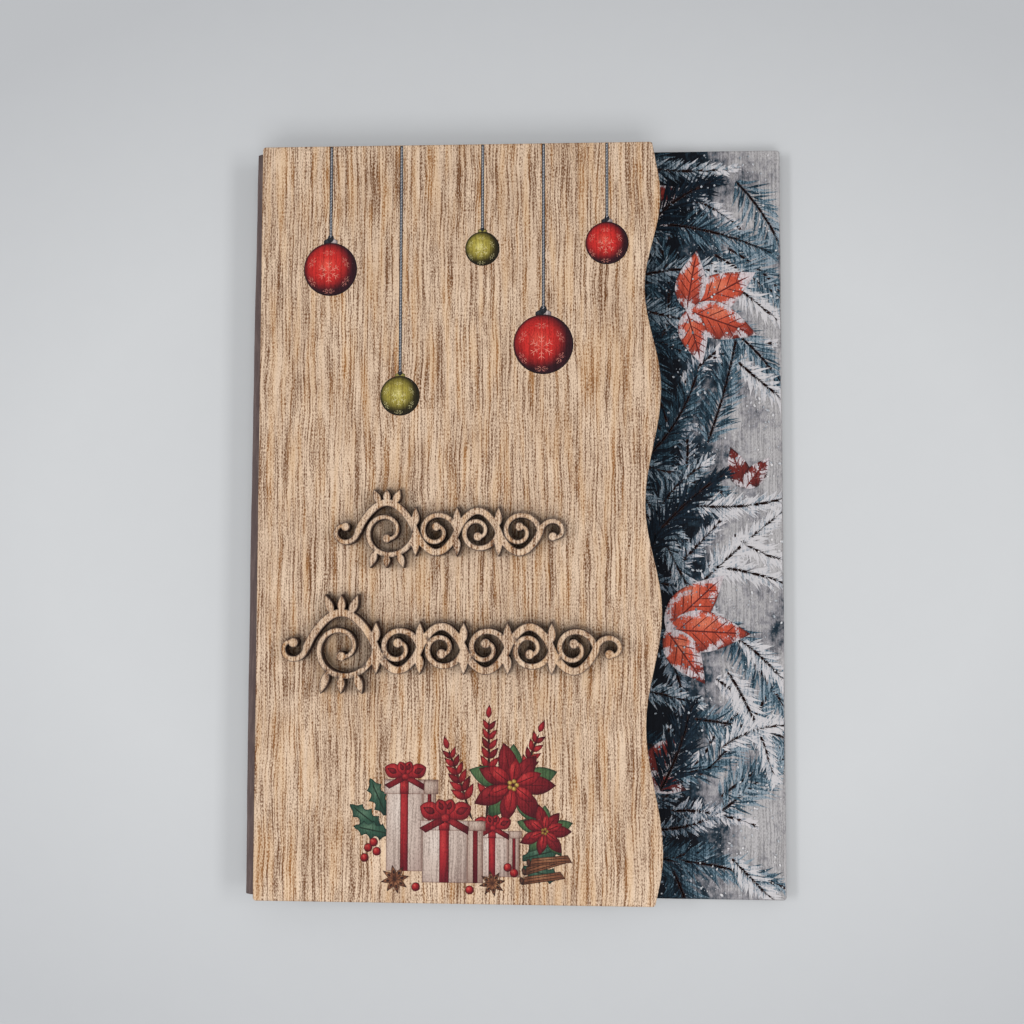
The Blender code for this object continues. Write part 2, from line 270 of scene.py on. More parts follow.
@dataclass(frozen=True)
class Grain:
    """The fine lines of broken pores that run along the boards.

    The span tells how far from the layers' middle level the wood is smooth and where it is all pore.
    """

    layers: tuple[GrainLayer, ...] = (
        GrainLayer(*mm(0.39, 22.0), 0.0, 0.84), GrainLayer(*mm(0.22, 4.0), 1.0, 0.6),
        GrainLayer(*mm(2.0, 9.0), 2.0, 0.32), GrainLayer(*mm(0.19, 0.5), 1.0, 1.1),
    )
    span: Point = (-0.115, 0.255)
    sway: Point = mm(11.0, 17.0)
    sway_reach: float = 1.1 * MM

    def pores(self, palette: Palette, shift: float = 0.0) -> Socket:
        """Return how deep the grain is at each place, from 0 on smooth wood to 1 in a pore.

        Args:
            palette: The material's bench.
            shift: How far the pattern is moved sideways, so that two boards differ.

        Returns:
            The depth's socket.
        """
        swayed = self._swayed(palette, shift)
        parts = []
        for layer in self.layers:
            cells = palette.vectors("MULTIPLY", swayed, (1 / layer.across, 1 / layer.along, 0))
            parts.append((palette.noise(cells, layer.detail), layer.weight))
        middle = sum(layer.weight for layer in self.layers) / 2
        return palette.stretch(palette.weigh(*parts), (middle + self.span[0], middle + self.span[1]))

    def _swayed(self, palette: Palette, shift: float) -> Socket:
        """Return coordinates whose across value wanders slowly along the grain."""
        wander = palette.math("SUBTRACT", palette.cloud(self.sway, shift=shift), 0.5)
        push = palette.vector(palette.math("MULTIPLY", wander, self.sway_reach * 2))
        return palette.vectors("ADD", palette.place((1, 1, 0), shift), push)


@dataclass(frozen=True)
class OakFace:
    """Pale oak with rows of brown and ochre pores, and a soot colour where a mesh carries it: laser soot on
    the rims, laser soot and painted shade on the plates round the scrollwork.
    """

    name: str
    shift: float = 0.0
    pore: Colour = pigment(102, 62, 28)
    ochre: Colour = pigment(144, 94, 44)
    body: Colour = pigment(224, 198, 172)
    shade: Colour = pigment(196, 168, 142)
    gold: Colour = pigment(214, 172, 118)
    # laser soot, and painted shade where the plates round the scrollwork carry it
    soot: Colour = pigment(46, 32, 34)
    cloud_cell: Point = mm(9.0, 13.0)
    fleck_cell: Point = mm(0.36, 0.42)
    ochre_cell: Point = mm(1.8, 22.0)
    tone_span: Point = (0.38, 0.58)
    warm_span: Point = (0.46, 0.66)
    gold_share: float = 0.3
    bump: Point = (0.35, 0.1 * MM)

    def make(self, grain: Grain) -> Material:
        """Return the finish as a material.

        Args:
            grain: The grain that shows through the finish.

        Returns:
            The new material.
        """
        palette = Palette(self.name, roughness=0.62, specular=0.25)
        depth = grain.pores(palette, self.shift)
        cloud = palette.cloud(self.cloud_cell, 3.0, 0.6, self.shift)
        fleck = palette.cloud(self.fleck_cell, roughness=0.6)
        warm = palette.stretch(palette.cloud(self.ochre_cell, shift=self.shift), self.warm_span)
        tone = palette.stretch(palette.weigh((cloud, 0.5), (fleck, 0.5)), self.tone_span)
        wood = palette.mix(tone, self.shade, self.body)
        golden = palette.mix(palette.math("MULTIPLY", warm, self.gold_share), wood, self.gold)
        grained = palette.mix(depth, golden, palette.mix(warm, self.pore, self.ochre))
        # soot colour: laser soot, and painted shade on the plates round the scrollwork
        palette.paint(palette.mix(palette.attribute("soot"), grained, self.soot))
        palette.groove(depth, *self.bump)
        return palette.material


@dataclass(frozen=True)
class ScorchedEdge:
    """A laser-cut wall, charred dark with brown streaks down its height."""

    name: str = "scorched_edge"
    streak_cell: Place = mm(0.35, 0.35, 3)
    stops: Stops = inks((0.38, 34, 25, 24), (0.72, 84, 58, 42))
    bump: Point = (0.4, 0.08 * MM)

    def make(self) -> Material:
        """Return the finish as a material."""
        palette = Palette(self.name, roughness=0.7, specular=0.25)
        streaks = palette.cloud(self.streak_cell, 3.0, 0.6)
        palette.paint(palette.ramp(streaks, self.stops))
        palette.emboss(streaks, *self.bump)
        return palette.material


@dataclass(frozen=True)
class RawBoard:
    """Brown fibreboard, flecked with short fibres."""

    name: str = "raw_fibreboard"
    fleck_cell: Place = mm(0.5, 0.5, 0.5)
    cloud_cell: Place = mm(9, 9, 9)
    cloud_share: float = 0.12
    stops: Stops = inks((0.36, 112, 82, 58), (0.62, 164, 128, 94))
    bump: Point = (0.25, 0.05 * MM)

    def make(self) -> Material:
        """Return the finish as a material."""
        palette = Palette(self.name, roughness=0.8, specular=0.2)
        flecks = palette.cloud(self.fleck_cell, 4.0, 0.7)
        clouds = palette.cloud(self.cloud_cell)
        tone = palette.weigh((flecks, 1 - self.cloud_share), (clouds, self.cloud_share))
        palette.paint(palette.ramp(tone, self.stops))
        palette.emboss(flecks, *self.bump)
        return palette.material


@dataclass(frozen=True)
class BookCloth:
    """Dark brown woven cloth, its threads laid out on the strip's own UV map in metres."""

    name: str = "book_cloth"
    pitch: float = 0.42 * MM
    over_span: Point = (-0.3, 0.3)
    slub_cell: Place = mm(0.8, 6, 0.8)
    slub_span: Point = (0.45, 0.75)
    stops: Stops = inks((0.1, 48, 38, 38), (0.75, 112, 96, 94))
    worn: Colour = pigment(140, 122, 116)
    worn_share: float = 0.5
    bump: Point = (0.6, 0.12 * MM)

    def make(self) -> Material:
        """Return the finish as a material."""
        palette = Palette(self.name, roughness=0.85, specular=0.15)
        spot = palette.split(palette.add("ShaderNodeUVMap", uv_map="cloth"))
        turns = [palette.math("MULTIPLY", spot[axis], math.tau / self.pitch) for axis in (0, 1)]
        waves = [palette.math("SINE", turn) for turn in turns]
        over = palette.stretch(palette.math("MULTIPLY", *waves), self.over_span)
        ridges = [palette.math("ABSOLUTE", wave) for wave in waves]
        weave = palette.add("ShaderNodeMix", {0: over, 2: ridges[0], 3: ridges[1]}, data_type="FLOAT")
        slub = palette.cloud(self.slub_cell, 3.0, 0.6)
        wear = palette.stretch(slub, self.slub_span, (0.0, self.worn_share))
        palette.paint(palette.mix(wear, palette.ramp(weave, self.stops), self.worn))
        palette.emboss(weave, *self.bump)
        return palette.material


@dataclass(frozen=True)
class PrintedInk:
    """Ink on wood: the print's own colour, cut by the board's pores and crusted with frost at its rims."""

    name: str
    pore_share: float = 0.5
    pore: Colour = pigment(96, 72, 62)
    frost: Colour = pigment(214, 206, 210)
    frost_cell: Point = mm(0.34, 0.5)
    frost_span: Point = (0.7, 0.86)
    frost_share: float = 0.92
    drift_cell: Point = mm(3, 3)
    drift_span: Point = (0.4, 0.62)
    mottle_cell: Point = mm(0.5, 0.5)
    mottle: Stops = ((0.3, (0.82, 0.82, 0.82)), (0.7, (1.0, 1.0, 1.0)))
    bump: Point = (0.3, 0.1 * MM)

    def make(self, grain: Grain) -> Material:
        """Return the finish as a material.

        Args:
            grain: The grain that shows through the finish.

        Returns:
            The new material.
        """
        palette = Palette(self.name, roughness=0.55, specular=0.14)
        crust = palette.cloud(self.frost_cell, 3.0, 0.65)
        drift = palette.stretch(palette.cloud(self.drift_cell, 1.0), self.drift_span, (0.1, 1.1))
        cover = palette.math("MULTIPLY", palette.attribute("frost"), drift)
        level = palette.weigh((cover, 0.52), (crust, 1.0))
        rimed = palette.stretch(level, self.frost_span, (0.0, self.frost_share))
        frosted = palette.mix(rimed, palette.attribute("ink", "Color"), self.frost)
        depth = grain.pores(palette)
        in_pore = palette.mix(1.0, frosted, self.pore, "MULTIPLY")
        worn = palette.mix(palette.math("MULTIPLY", depth, self.pore_share), frosted, in_pore)
        mottled = palette.ramp(palette.cloud(self.mottle_cell, 3.0, 0.6), self.mottle)
        palette.paint(palette.mix(1.0, worn, mottled, "MULTIPLY"))
        palette.groove(depth, *self.bump)
        return palette.material


@dataclass(frozen=True)
class Daylight:
    """How the winter print brightens away from the dark band beside the cover's wavy edge."""

    dark_x: float
    right_x: float
    left_x: float
    right_light: float = 0.76
    left_light: float = 0.8
    drift_cell: Point = mm(17, 22)
    drift_share: float = 0.9

    def value(self, palette: Palette) -> Socket:
        """Return the brightness, from 0 in the dark band to 1 at the panel's sides.

        Args:
            palette: The material's bench.

        Returns:
            The brightness's socket.
        """
        across = palette.split(palette.node("ShaderNodeTexCoord").outputs["Object"])[0]
        right = palette.stretch(across, (self.dark_x, self.right_x), (0.0, self.right_light))
        left = palette.stretch(across, (self.dark_x, self.left_x), (0.0, self.left_light))
        drift = palette.math("SUBTRACT", palette.cloud(self.drift_cell), 0.5)
        return palette.weigh((palette.math("MAXIMUM", right, left), 1.0), (drift, self.drift_share))


@dataclass(frozen=True)
class NeedleInk:
    """Ink whose needles or flakes run between colours by their reach, their tint and the daylight."""

    name: str
    stops: Stops
    reach_share: float = 0.0
    tint_share: float = 1.0
    light_share: float = 0.0
    pore_share: float = 0.34
    pore_shift: float = 0.03
    tooth_share: float = 0.5
    tooth_cell: Point = mm(0.3, 0.3)
    bark: Colour = pigment(50, 34, 32)
    bump: Point = (0.3, 0.1 * MM)

    def make(self, grain: Grain, daylight: Daylight | None = None) -> Material:
        """Return the finish as a material.

        Args:
            grain: The grain that shows through the ink.
            daylight: What brightens the print, or None for an even light.

        Returns:
            The new material.
        """
        palette = Palette(self.name, roughness=0.6, specular=0.07)
        depth = grain.pores(palette, self.pore_shift)
        level = palette.weigh(
            (palette.attribute("reach"), self.reach_share), (palette.attribute("tint"), self.tint_share),
            (palette.math("SUBTRACT", 0.5, depth), self.pore_share),
            (palette.math("SUBTRACT", palette.cloud(self.tooth_cell, 1.0), 0.5), self.tooth_share),
        )
        if daylight:
            level = palette.weigh((daylight.value(palette), self.light_share), (level, 1.0))
        palette.paint(palette.mix(palette.attribute("bark"), palette.ramp(level, self.stops), self.bark))
        palette.groove(depth, *self.bump)
        return palette.material


@dataclass(frozen=True)
class WinterGround:
    """The blurred ground of the winter print: dark beside the cover and snowy at the open side."""

    name: str = "winter_ground"
    night: Colour = pigment(13, 16, 23)
    stops: Stops = inks((0.2, 13, 16, 23), (0.42, 38, 54, 66), (0.62, 140, 138, 143), (0.85, 178, 175, 176))
    soft_cell: Point = mm(7, 9)
    frost_cell: Point = mm(1.3, 1.7)
    pore_shift: float = 0.03
    pore_light: float = 0.58
    bump: Point = (0.4, 0.12 * MM)

    def make(self, grain: Grain, daylight: Daylight) -> Material:
        """Return the finish as a material.

        Args:
            grain: The grain that shows through the ink.
            daylight: What brightens the print.

        Returns:
            The new material.
        """
        palette = Palette(self.name, roughness=0.6, specular=0.07)
        clouds, frost = (
            palette.math("SUBTRACT", palette.cloud(cell, 4.0, 0.6), 0.5)
            for cell in (self.soft_cell, self.frost_cell)
        )
        level = palette.weigh((daylight.value(palette), 1.0), (clouds, 1.1), (frost, 0.8))
        depth = grain.pores(palette, self.pore_shift)
        fleck = palette.stretch(depth, (0.0, 1.0), (1.0, self.pore_light))
        grey = palette.add("ShaderNodeCombineColor", {0: fleck, 1: fleck, 2: fleck})
        print_tone = palette.mix(1.0, palette.ramp(level, self.stops), grey, "MULTIPLY")
        palette.paint(palette.mix(palette.attribute("soot"), print_tone, self.night))
        palette.groove(depth, *self.bump)
        return palette.material


@dataclass(frozen=True)
class Wash:
    """One tone of a print: a lit spot, a body, a shaded side and a drawn rim.

    The spot's place is given from the shape's middle, in halves of its box.
    """

    light: Colour
    body: Colour
    shadow: Colour
    rim: Colour
    spot: Point = (-0.2, 0.2)
    fade: Point = (0.75, 1.25)
    rim_width: float = 0.25 * MM

    def at(self, u: float, v: float, depth: float) -> Colour:
        """Return the colour at a place.

        Args:
            u, v: The place across and along the shape, each from -1 to 1.
            depth: The distance to the shape's outline.

        Returns:
            The linear colour.
        """
        far = math.hypot(u - self.spot[0], v - self.spot[1])
        lit = blend_colours(self.light, self.body, smooth(0.0, self.fade[0], far))
        shaded = blend_colours(lit, self.shadow, smooth(*self.fade, far))
        return blend_colours(self.rim, shaded, smooth(0.0, self.rim_width, depth))


def wash(*tones: Colour, **drawn: object) -> Wash:
    """Return a wash from its four display colours and the way that it is drawn."""
    return Wash(*(pigment(*tone) for tone in tones), **drawn)


BALL = {"spot": (-0.15, 0.14), "rim_width": 0.55 * MM}
WRAPPING = {"spot": (-0.3, 0.3)}
RIBBON = {"spot": (-0.3, 0.3), "fade": (0.6, 1.4)}
GREENERY = {"spot": (-0.2, 0.3), "fade": (0.6, 1.4)}
RED_LEAF = {"spot": (-0.1, 0.4), "fade": (0.5, 1.4), "rim_width": 0.6 * MM}


class Tone(Enum):
    """The washes of the prints, each from its lit spot to its rim."""

    RED_BALL = wash((232, 84, 70), (204, 46, 42), (50, 20, 28), (26, 18, 24), fade=(0.46, 1.0), **BALL)
    OLIVE_BALL = wash((218, 206, 118), (172, 158, 70), (40, 34, 16), (24, 20, 14), fade=(0.4, 0.96), **BALL)
    CAP_DARK = wash((62, 66, 72), (40, 44, 50), (24, 26, 32), (30, 30, 36))
    CAP_PALE = wash((206, 194, 190), (172, 160, 160), (130, 122, 124), (80, 70, 74))
    CAP_OLIVE = wash((204, 192, 108), (162, 150, 74), (98, 90, 44), (54, 52, 30))
    CREAM = wash(
        (220, 204, 193), (204, 184, 172), (176, 152, 142), (134, 102, 90), fade=(0.9, 1.7), **WRAPPING,
    )
    CREAM_SHADE = wash(
        (204, 184, 170), (186, 162, 148), (152, 124, 112), (118, 88, 78), fade=(0.7, 1.6), **WRAPPING,
    )
    CRIMSON = wash((196, 62, 62), (160, 38, 44), (104, 24, 34), (84, 20, 28), **RIBBON)
    CRIMSON_DEEP = wash((150, 40, 46), (120, 28, 36), (78, 18, 28), (64, 16, 24), **RIBBON)
    BERRY = wash(
        (226, 110, 96), (176, 36, 40), (92, 18, 26), (76, 18, 24), spot=(-0.3, 0.35), fade=(0.4, 1.2),
    )
    PINE_GREEN = wash((92, 122, 100), (52, 84, 68), (28, 52, 46), (24, 42, 38), **GREENERY)
    LEAF_GREEN = wash((116, 138, 96), (74, 102, 66), (42, 66, 46), (34, 52, 40), **GREENERY)
    BARK = wash((178, 128, 92), (134, 84, 58), (86, 50, 36), (64, 38, 30), spot=(-0.2, 0.3), fade=(0.5, 1.4))
    BARK_DARK = wash((104, 66, 50), (74, 46, 38), (50, 32, 28), (44, 28, 26))
    POLLEN = wash((236, 206, 120), (206, 164, 74), (140, 100, 48), (110, 78, 40))
    RUST = wash((224, 124, 94), (200, 84, 60), (136, 50, 40), (92, 38, 34), **RED_LEAF)
    RUST_DEEP = wash((150, 52, 40), (116, 38, 34), (70, 26, 28), (46, 22, 26), **RED_LEAF)
    RUST_VEIN = wash((186, 78, 56), (166, 60, 44), (116, 40, 34), (104, 36, 32))


def new_mesh(name: str, points: Sequence[Place], edges: Sequence = (), faces: Sequence = (),
             **columns: Sequence[float]) -> Mesh:
    """Return a mesh.

    Args:
        name: The mesh's name.
        points, edges, faces: What it is made of.
        **columns: A number for each point, under each name that a finish or a recipe reads.

    Returns:
        The new mesh.
    """
    mesh = bpy.data.meshes.new(name)
    mesh.from_pydata(points, edges, faces)
    for key, values in columns.items():
        mesh.attributes.new(key, "FLOAT", "POINT").data.foreach_set("value", values)
    return mesh


def add_object(name: str, mesh: Mesh) -> Piece:
    """Return a new object at the origin that shows a mesh."""
    made = bpy.data.objects.new(name, mesh)
    bpy.context.scene.collection.objects.link(made)
    return made


def plain_copy(source: Piece) -> Piece:
    """Replace an object by one whose mesh has its modifiers applied.

    Args:
        source: The object, which is removed.

    Returns:
        The object that takes its place and its name.
    """
    bpy.context.view_layer.update()
    evaluated = source.evaluated_get(bpy.context.evaluated_depsgraph_get())
    mesh = bpy.data.meshes.new_from_object(evaluated)
    name = source.name
    bpy.data.objects.remove(source, do_unlink=True)
    mesh.name = name
    return add_object(name, mesh)


def settle(piece: Piece, body: str, replaces: Sequence[str] = ()) -> None:
    """Hang a finished piece on its body and report it.

    Args:
        piece: The finished piece.
        body: The body that carries it.
        replaces: The solids that it stands for.
    """
    if replaces:
        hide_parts(*replaces)
    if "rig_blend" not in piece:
        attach(piece, body)
    LOG.info("%s: %d faces on %s", piece.name, len(piece.data.polygons), body)


def outline_distance(places: np.ndarray, starts: np.ndarray, ends: np.ndarray) -> np.ndarray:
    """Return each place's distance to the nearest of an outline's steps.

    Args:
        places: The places, one in each row.
        starts, ends: Where each step of the outline starts and ends.

    Returns:
        One distance for each place.
    """
    run = ends - starts
    offset = places[:, None, :] - starts[None, :, :]
    share = (offset * run).sum(2) / np.maximum((run * run).sum(1), 1e-18)
    nearest = offset - np.clip(share, 0, 1)[:, :, None] * run
    return np.sqrt((nearest ** 2).sum(2)).min(1)


def triangulate(loops: Sequence[np.ndarray], inner: np.ndarray, merge: float,
                sliver: float) -> tuple[np.ndarray, Faces, list[bool]]:
    """Fill closed outlines with triangles.

    Args:
        loops: The outlines' points.
        inner: More points, inside them.
        merge: How close points become one.
        sliver: Twice the area under which a triangle is dropped.

    Returns:
        The points, the triangles with their left side inward, and whether each point is on an outline.
    """
    edges = []
    start = 0
    for loop in loops:
        edges += [(start + step, start + (step + 1) % len(loop)) for step in range(len(loop))]
        start += len(loop)
    given = [Vector(place) for place in np.vstack([*loops, inner])]
    found = delaunay_2d_cdt(given, edges, [], 1, merge)
    flat = np.array([tuple(place) for place in found[0]])
    triangles = []
    for corners in found[2]:
        a, b, c = flat[list(corners)]
        turn = (b - a)[0] * (c - a)[1] - (b - a)[1] * (c - a)[0]
        if abs(turn) > sliver:
            triangles.append(tuple(corners) if turn > 0 else tuple(corners)[::-1])
    return flat, triangles, [bool(origin) and origin[0] < start for origin in found[3]]


def plate_faces(triangles: Faces, count: int) -> tuple[Faces, Faces, Faces]:
    """Return the faces of a closed plate.

    Args:
        triangles: The triangles of its top.
        count: How far the number of each point below lies past that of the point on top.

    Returns:
        The top's faces, the walls' and the underside's.
    """
    sides = [pair for a, b, c in triangles for pair in ((a, b), (b, c), (c, a))]
    known = set(sides)
    walls = [(b, a, count + a, count + b) for a, b in sides if (b, a) not in known]
    return triangles, walls, [(count + c, count + b, count + a) for a, b, c in triangles]


@dataclass
class InkSheet:
    """A flat print: thin closed plates, each one step above the last, coloured point by point."""

    name: str
    bottom: float
    step: float = 0.0004 * MM
    first_height: float = 0.012 * MM
    grid_gap_share: float = 0.4
    top: float = field(init=False)
    points: list[Place] = field(default_factory=list)
    faces: Faces = field(default_factory=list)
    colours: list[Colour] = field(default_factory=list)
    frost: list[float] = field(default_factory=list)

    def __post_init__(self) -> None:
        """Set the first plate's height."""
        self.top = self.bottom + self.first_height

    def add(self, outline: Outline, tone: Tone, spacing: float = 0.55 * MM, frost: float = 0.0) -> None:
        """Lay one shape on the print.

        Args:
            outline: The shape's closed outline.
            tone: Its wash.
            spacing: How close the inner points lie.
            frost: How far a crust of frost reaches in from the outline, or 0 for none.
        """
        edge = np.array(outline)
        ends = np.roll(edge, -1, axis=0)
        low, high = edge.min(0), edge.max(0)
        columns, rows = (np.arange(a + spacing / 2, b, spacing) for a, b in zip(low, high))
        grid = np.array([(x, y) for x in columns for y in rows]).reshape(-1, 2)
        grid = grid[outline_distance(grid, edge, ends) > spacing * self.grid_gap_share]
        flat, triangles, _ = triangulate([edge], grid, 1e-7, 1e-16)
        middle, half = (low + high) / 2, np.maximum((high - low) / 2, 1e-6)
        depths = outline_distance(flat, edge, ends)
        self.colours += [tone.value.at(*((p - middle) / half), d) for p, d in zip(flat, depths)] * 2
        self.frost += [1.0 - smooth(0.0, frost, d) if frost else 0.0 for d in depths] * 2
        start = len(self.points)
        for height in (self.top, self.bottom):
            self.points += [(x, y, height) for x, y in flat]
        for faces in plate_faces([(start + a, start + b, start + c) for a, b, c in triangles], len(flat)):
            self.faces += faces
        self.top += self.step

    def build(self, material: Material) -> Piece:
        """Return the print as one mesh object with an ink attribute."""
        mesh = new_mesh(self.name, self.points, faces=self.faces, frost=self.frost)
        ink = mesh.attributes.new("ink", "FLOAT_COLOR", "POINT")
        ink.data.foreach_set("color", [v for c in self.colours for v in (*c, 1.0)])
        mesh.materials.append(material)
        return add_object(self.name, mesh)


def turned(point: Point, angle: float, origin: Point = (0.0, 0.0)) -> Point:
    """Return a point turned about zero and moved to an origin."""
    x, y = point
    sine, cosine = math.sin(angle), math.cos(angle)
    return origin[0] + x * cosine - y * sine, origin[1] + x * sine + y * cosine


def ellipse(centre: Point, radii: Point, steps: int = 28, turn: float = 0.0) -> Outline:
    """Return a closed ellipse, turned about its centre."""
    angles = [math.tau * step / steps for step in range(steps)]
    return [turned((radii[0] * math.cos(a), radii[1] * math.sin(a)), turn, centre) for a in angles]


def blade(base: Point, angle: float, length: float, width: float, profile: Profile,
          steps: int = 16, bend: float = 0.0) -> Outline:
    """Return a leaf-like outline.

    Args:
        base: Where the blade starts.
        angle: The way that it points.
        length, width: Its size.
        profile: Its half width, as a share of width / 2, at each share of its length.
        steps: How many points each side has.
        bend: How far its tip is pushed sideways.

    Returns:
        The closed outline.
    """
    upper = []
    lower = []
    for step in range(steps + 1):
        share = step / steps
        half = profile(share) * width / 2
        push = bend * share * share
        upper.append(turned((share * length, push + half), angle, base))
        lower.append(turned((share * length, push - half), angle, base))
    return lower + upper[-2:0:-1]


def ovate(share: float) -> float:
    """The half width of an egg-shaped leaf."""
    return math.sin(math.pi * share ** 0.75)


def pointed(share: float) -> float:
    """The half width of a petal that is widest past its middle."""
    return math.sin(math.pi * share) * (0.75 + 0.4 * share)


def spiny(share: float) -> float:
    """The half width of a holly leaf, with a spine at each quarter."""
    scallop = 0.55 + 0.45 * (1 - abs(math.sin(math.pi * 4 * share)))
    return math.sin(math.pi * min(share + 0.02, 1.0)) ** 0.6 * scallop


def loop_shape(share: float) -> float:
    """The half width of a bow's loop, widest near its outer end."""
    return math.sin(math.pi * share ** 1.5) ** 0.8 + 0.12 * (1 - share)


def straight(share: float) -> float:
    """The half width of a bar."""
    return 1.0


class Box(NamedTuple):
    """A solid's lowest and highest corners at rest."""

    low: Vector
    high: Vector


def box_field(node: str) -> object:
    """Return a field that reads a solid's box."""
    return field(default_factory=lambda: Box(*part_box(node)))


@dataclass
class Book:
    """Where the boards lie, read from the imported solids."""

    back: Box = box_field("back_panel")
    cover: Box = box_field("front_cover")
    frame: Box = box_field("note_frame")
    strip: Box = box_field("spine_strip")
    glue_line: float = 0.16 * MM

    def at(self, x: float, y: float) -> Point:
        """Return a place given from the books' near left corner."""
        return self.back.low.x + x, self.back.low.y + y


class Face(Enum):
    """The material index of each side of a board."""

    TOP = 0
    EDGE = 1
    UNDER = 2


def board_outlines(node: str, weld: float, shortest: float, longest: float) -> list[np.ndarray]:
    """Return the outlines of a solid's top face, each with the board on its left.

    Args:
        node: The solid's name.
        weld: How close corners are joined.
        shortest: The shortest step that is kept.
        longest: The longest step, past which a step is cut up.

    Returns:
        One row of points for each outline.
    """
    shape = bmesh.new()
    shape.from_mesh(frame["nodes"][node].data)
    bmesh.ops.remove_doubles(shape, verts=shape.verts, dist=weld)
    shape.normal_update()
    following = {}
    for loop in (loop for face in shape.faces if face.normal.z >= 0.5 for loop in face.loops):
        if loop.link_loop_radial_next.face.normal.z < 0.5:
            following[loop.vert.index] = loop.link_loop_next.vert.index
    places = {vertex.index: tuple(vertex.co)[:2] for vertex in shape.verts}
    shape.free()
    outlines = []
    while following:
        start = next(iter(following))
        line = [start]
        spot = following.pop(start)
        while spot != start:
            line.append(spot)
            spot = following.pop(spot)
        outlines.append(even_steps([places[index] for index in line], shortest, longest))
    return outlines


def even_steps(line: Outline, shortest: float, longest: float) -> np.ndarray:
    """Return a closed line without its shortest steps and with its longest ones cut up.

    Args:
        line: The line's points.
        shortest, longest: The limits of a step.

    Returns:
        The new points, one in each row.
    """
    kept = [line[0]]
    for place in line[1:]:
        if min(math.dist(place, kept[-1]), math.dist(place, line[0])) > shortest:
            kept.append(place)
    points = []
    for one, other in zip(kept, kept[1:] + kept[:1]):
        steps = max(1, math.ceil(math.dist(one, other) / longest))
        points += [tuple(np.array(one) + (np.array(other) - one) * step / steps) for step in range(steps)]
    return np.array(points)


@dataclass
class Board:
    """A laser-cut board, cut to its solid's outlines, with eased and scorched rims."""

    name: str
    node: str
    body: str
    slot: str
    top: Material
    edge: Material
    under: Material
    drop: float = 0.0
    rim: float = 0.3 * MM
    ease: float = 0.1 * MM
    soot: float = 0.3
    spacing: float = 2.0 * MM
    shortest: float = 0.05 * MM
    weld: float = 0.005 * MM
    corner: float = math.radians(32)

    def build(self) -> Piece:
        """Return the finished board, hung on its body."""
        loops = board_outlines(self.node, self.weld, self.shortest, self.spacing)
        rim = np.vstack(loops)
        ends = np.vstack([np.roll(loop, -1, axis=0) for loop in loops])
        flat, triangles, on_rim = triangulate(loops, self._inner_points(loops, rim, ends), 1e-8, 1e-15)
        triangles = [part for part in triangles if self._inside(flat[list(part)].mean(0), rim, ends)]
        low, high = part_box(self.node)
        points = [(x, y, high.z - self.ease * edge) for (x, y), edge in zip(flat, on_rim)]
        points += [(x, y, low.z - self.drop) for x, y in flat]
        sides = plate_faces(triangles, len(flat))
        stain = [self.soot * edge for edge in on_rim] + [0.0] * len(flat)
        mesh = new_mesh(self.name, points, faces=[face for side in sides for face in side], soot=stain)
        indices = [kind.value for kind, side in zip(Face, sides) for _ in side]
        mesh.polygons.foreach_set("material_index", indices)
        for material in (self.top, self.edge, self.under):
            mesh.materials.append(material)
        self._shade(mesh)
        board = add_object(self.name, mesh)
        settle(board, self.body, [self.node])
        return board

    def _inner_points(self, loops: list[np.ndarray], rim: np.ndarray, ends: np.ndarray) -> np.ndarray:
        """Return points that lie one rim's width inside the outlines.

        Args:
            loops: The outlines, each with the board on its left.
            rim, ends: Where the steps of all the outlines start and end.

        Returns:
            The points, one in each row.
        """
        moved = []
        for loop in loops:
            way = np.roll(loop, -1, axis=0) - loop
            left = np.stack([-way[:, 1], way[:, 0]], axis=1) / np.linalg.norm(way, axis=1)[:, None]
            mean = left + np.roll(left, 1, axis=0)
            mean /= np.maximum(np.linalg.norm(mean, axis=1), 0.3)[:, None]
            moved.append(loop + mean * self.rim)
        moved = np.vstack(moved)
        clear = outline_distance(moved, rim, ends) > self.rim * 0.75
        return moved[clear & [self._inside(place, rim, ends) for place in moved]]

    @staticmethod
    def _inside(place: np.ndarray, rim: np.ndarray, ends: np.ndarray) -> bool:
        """Return whether a place lies on the board, from how many outline edges are to its right."""
        across = (rim[:, 1] > place[1]) != (ends[:, 1] > place[1])
        rim, ends = rim[across], ends[across]
        meets = rim[:, 0] + (place[1] - rim[:, 1]) / (ends[:, 1] - rim[:, 1]) * (ends[:, 0] - rim[:, 0])
        return bool((meets > place[0]).sum() % 2)

    def _shade(self, mesh: Mesh) -> None:
        """Shade the walls smooth round gentle bends, and keep the rims and corners crisp."""
        mesh.shade_smooth()
        shape = bmesh.new()
        shape.from_mesh(mesh)
        for edge in shape.edges:
            kinds = {face.material_index for face in edge.link_faces}
            edge.smooth = len(kinds) == 1 and edge.calc_face_angle(0.0) < self.corner
        shape.to_mesh(mesh)
        shape.free()


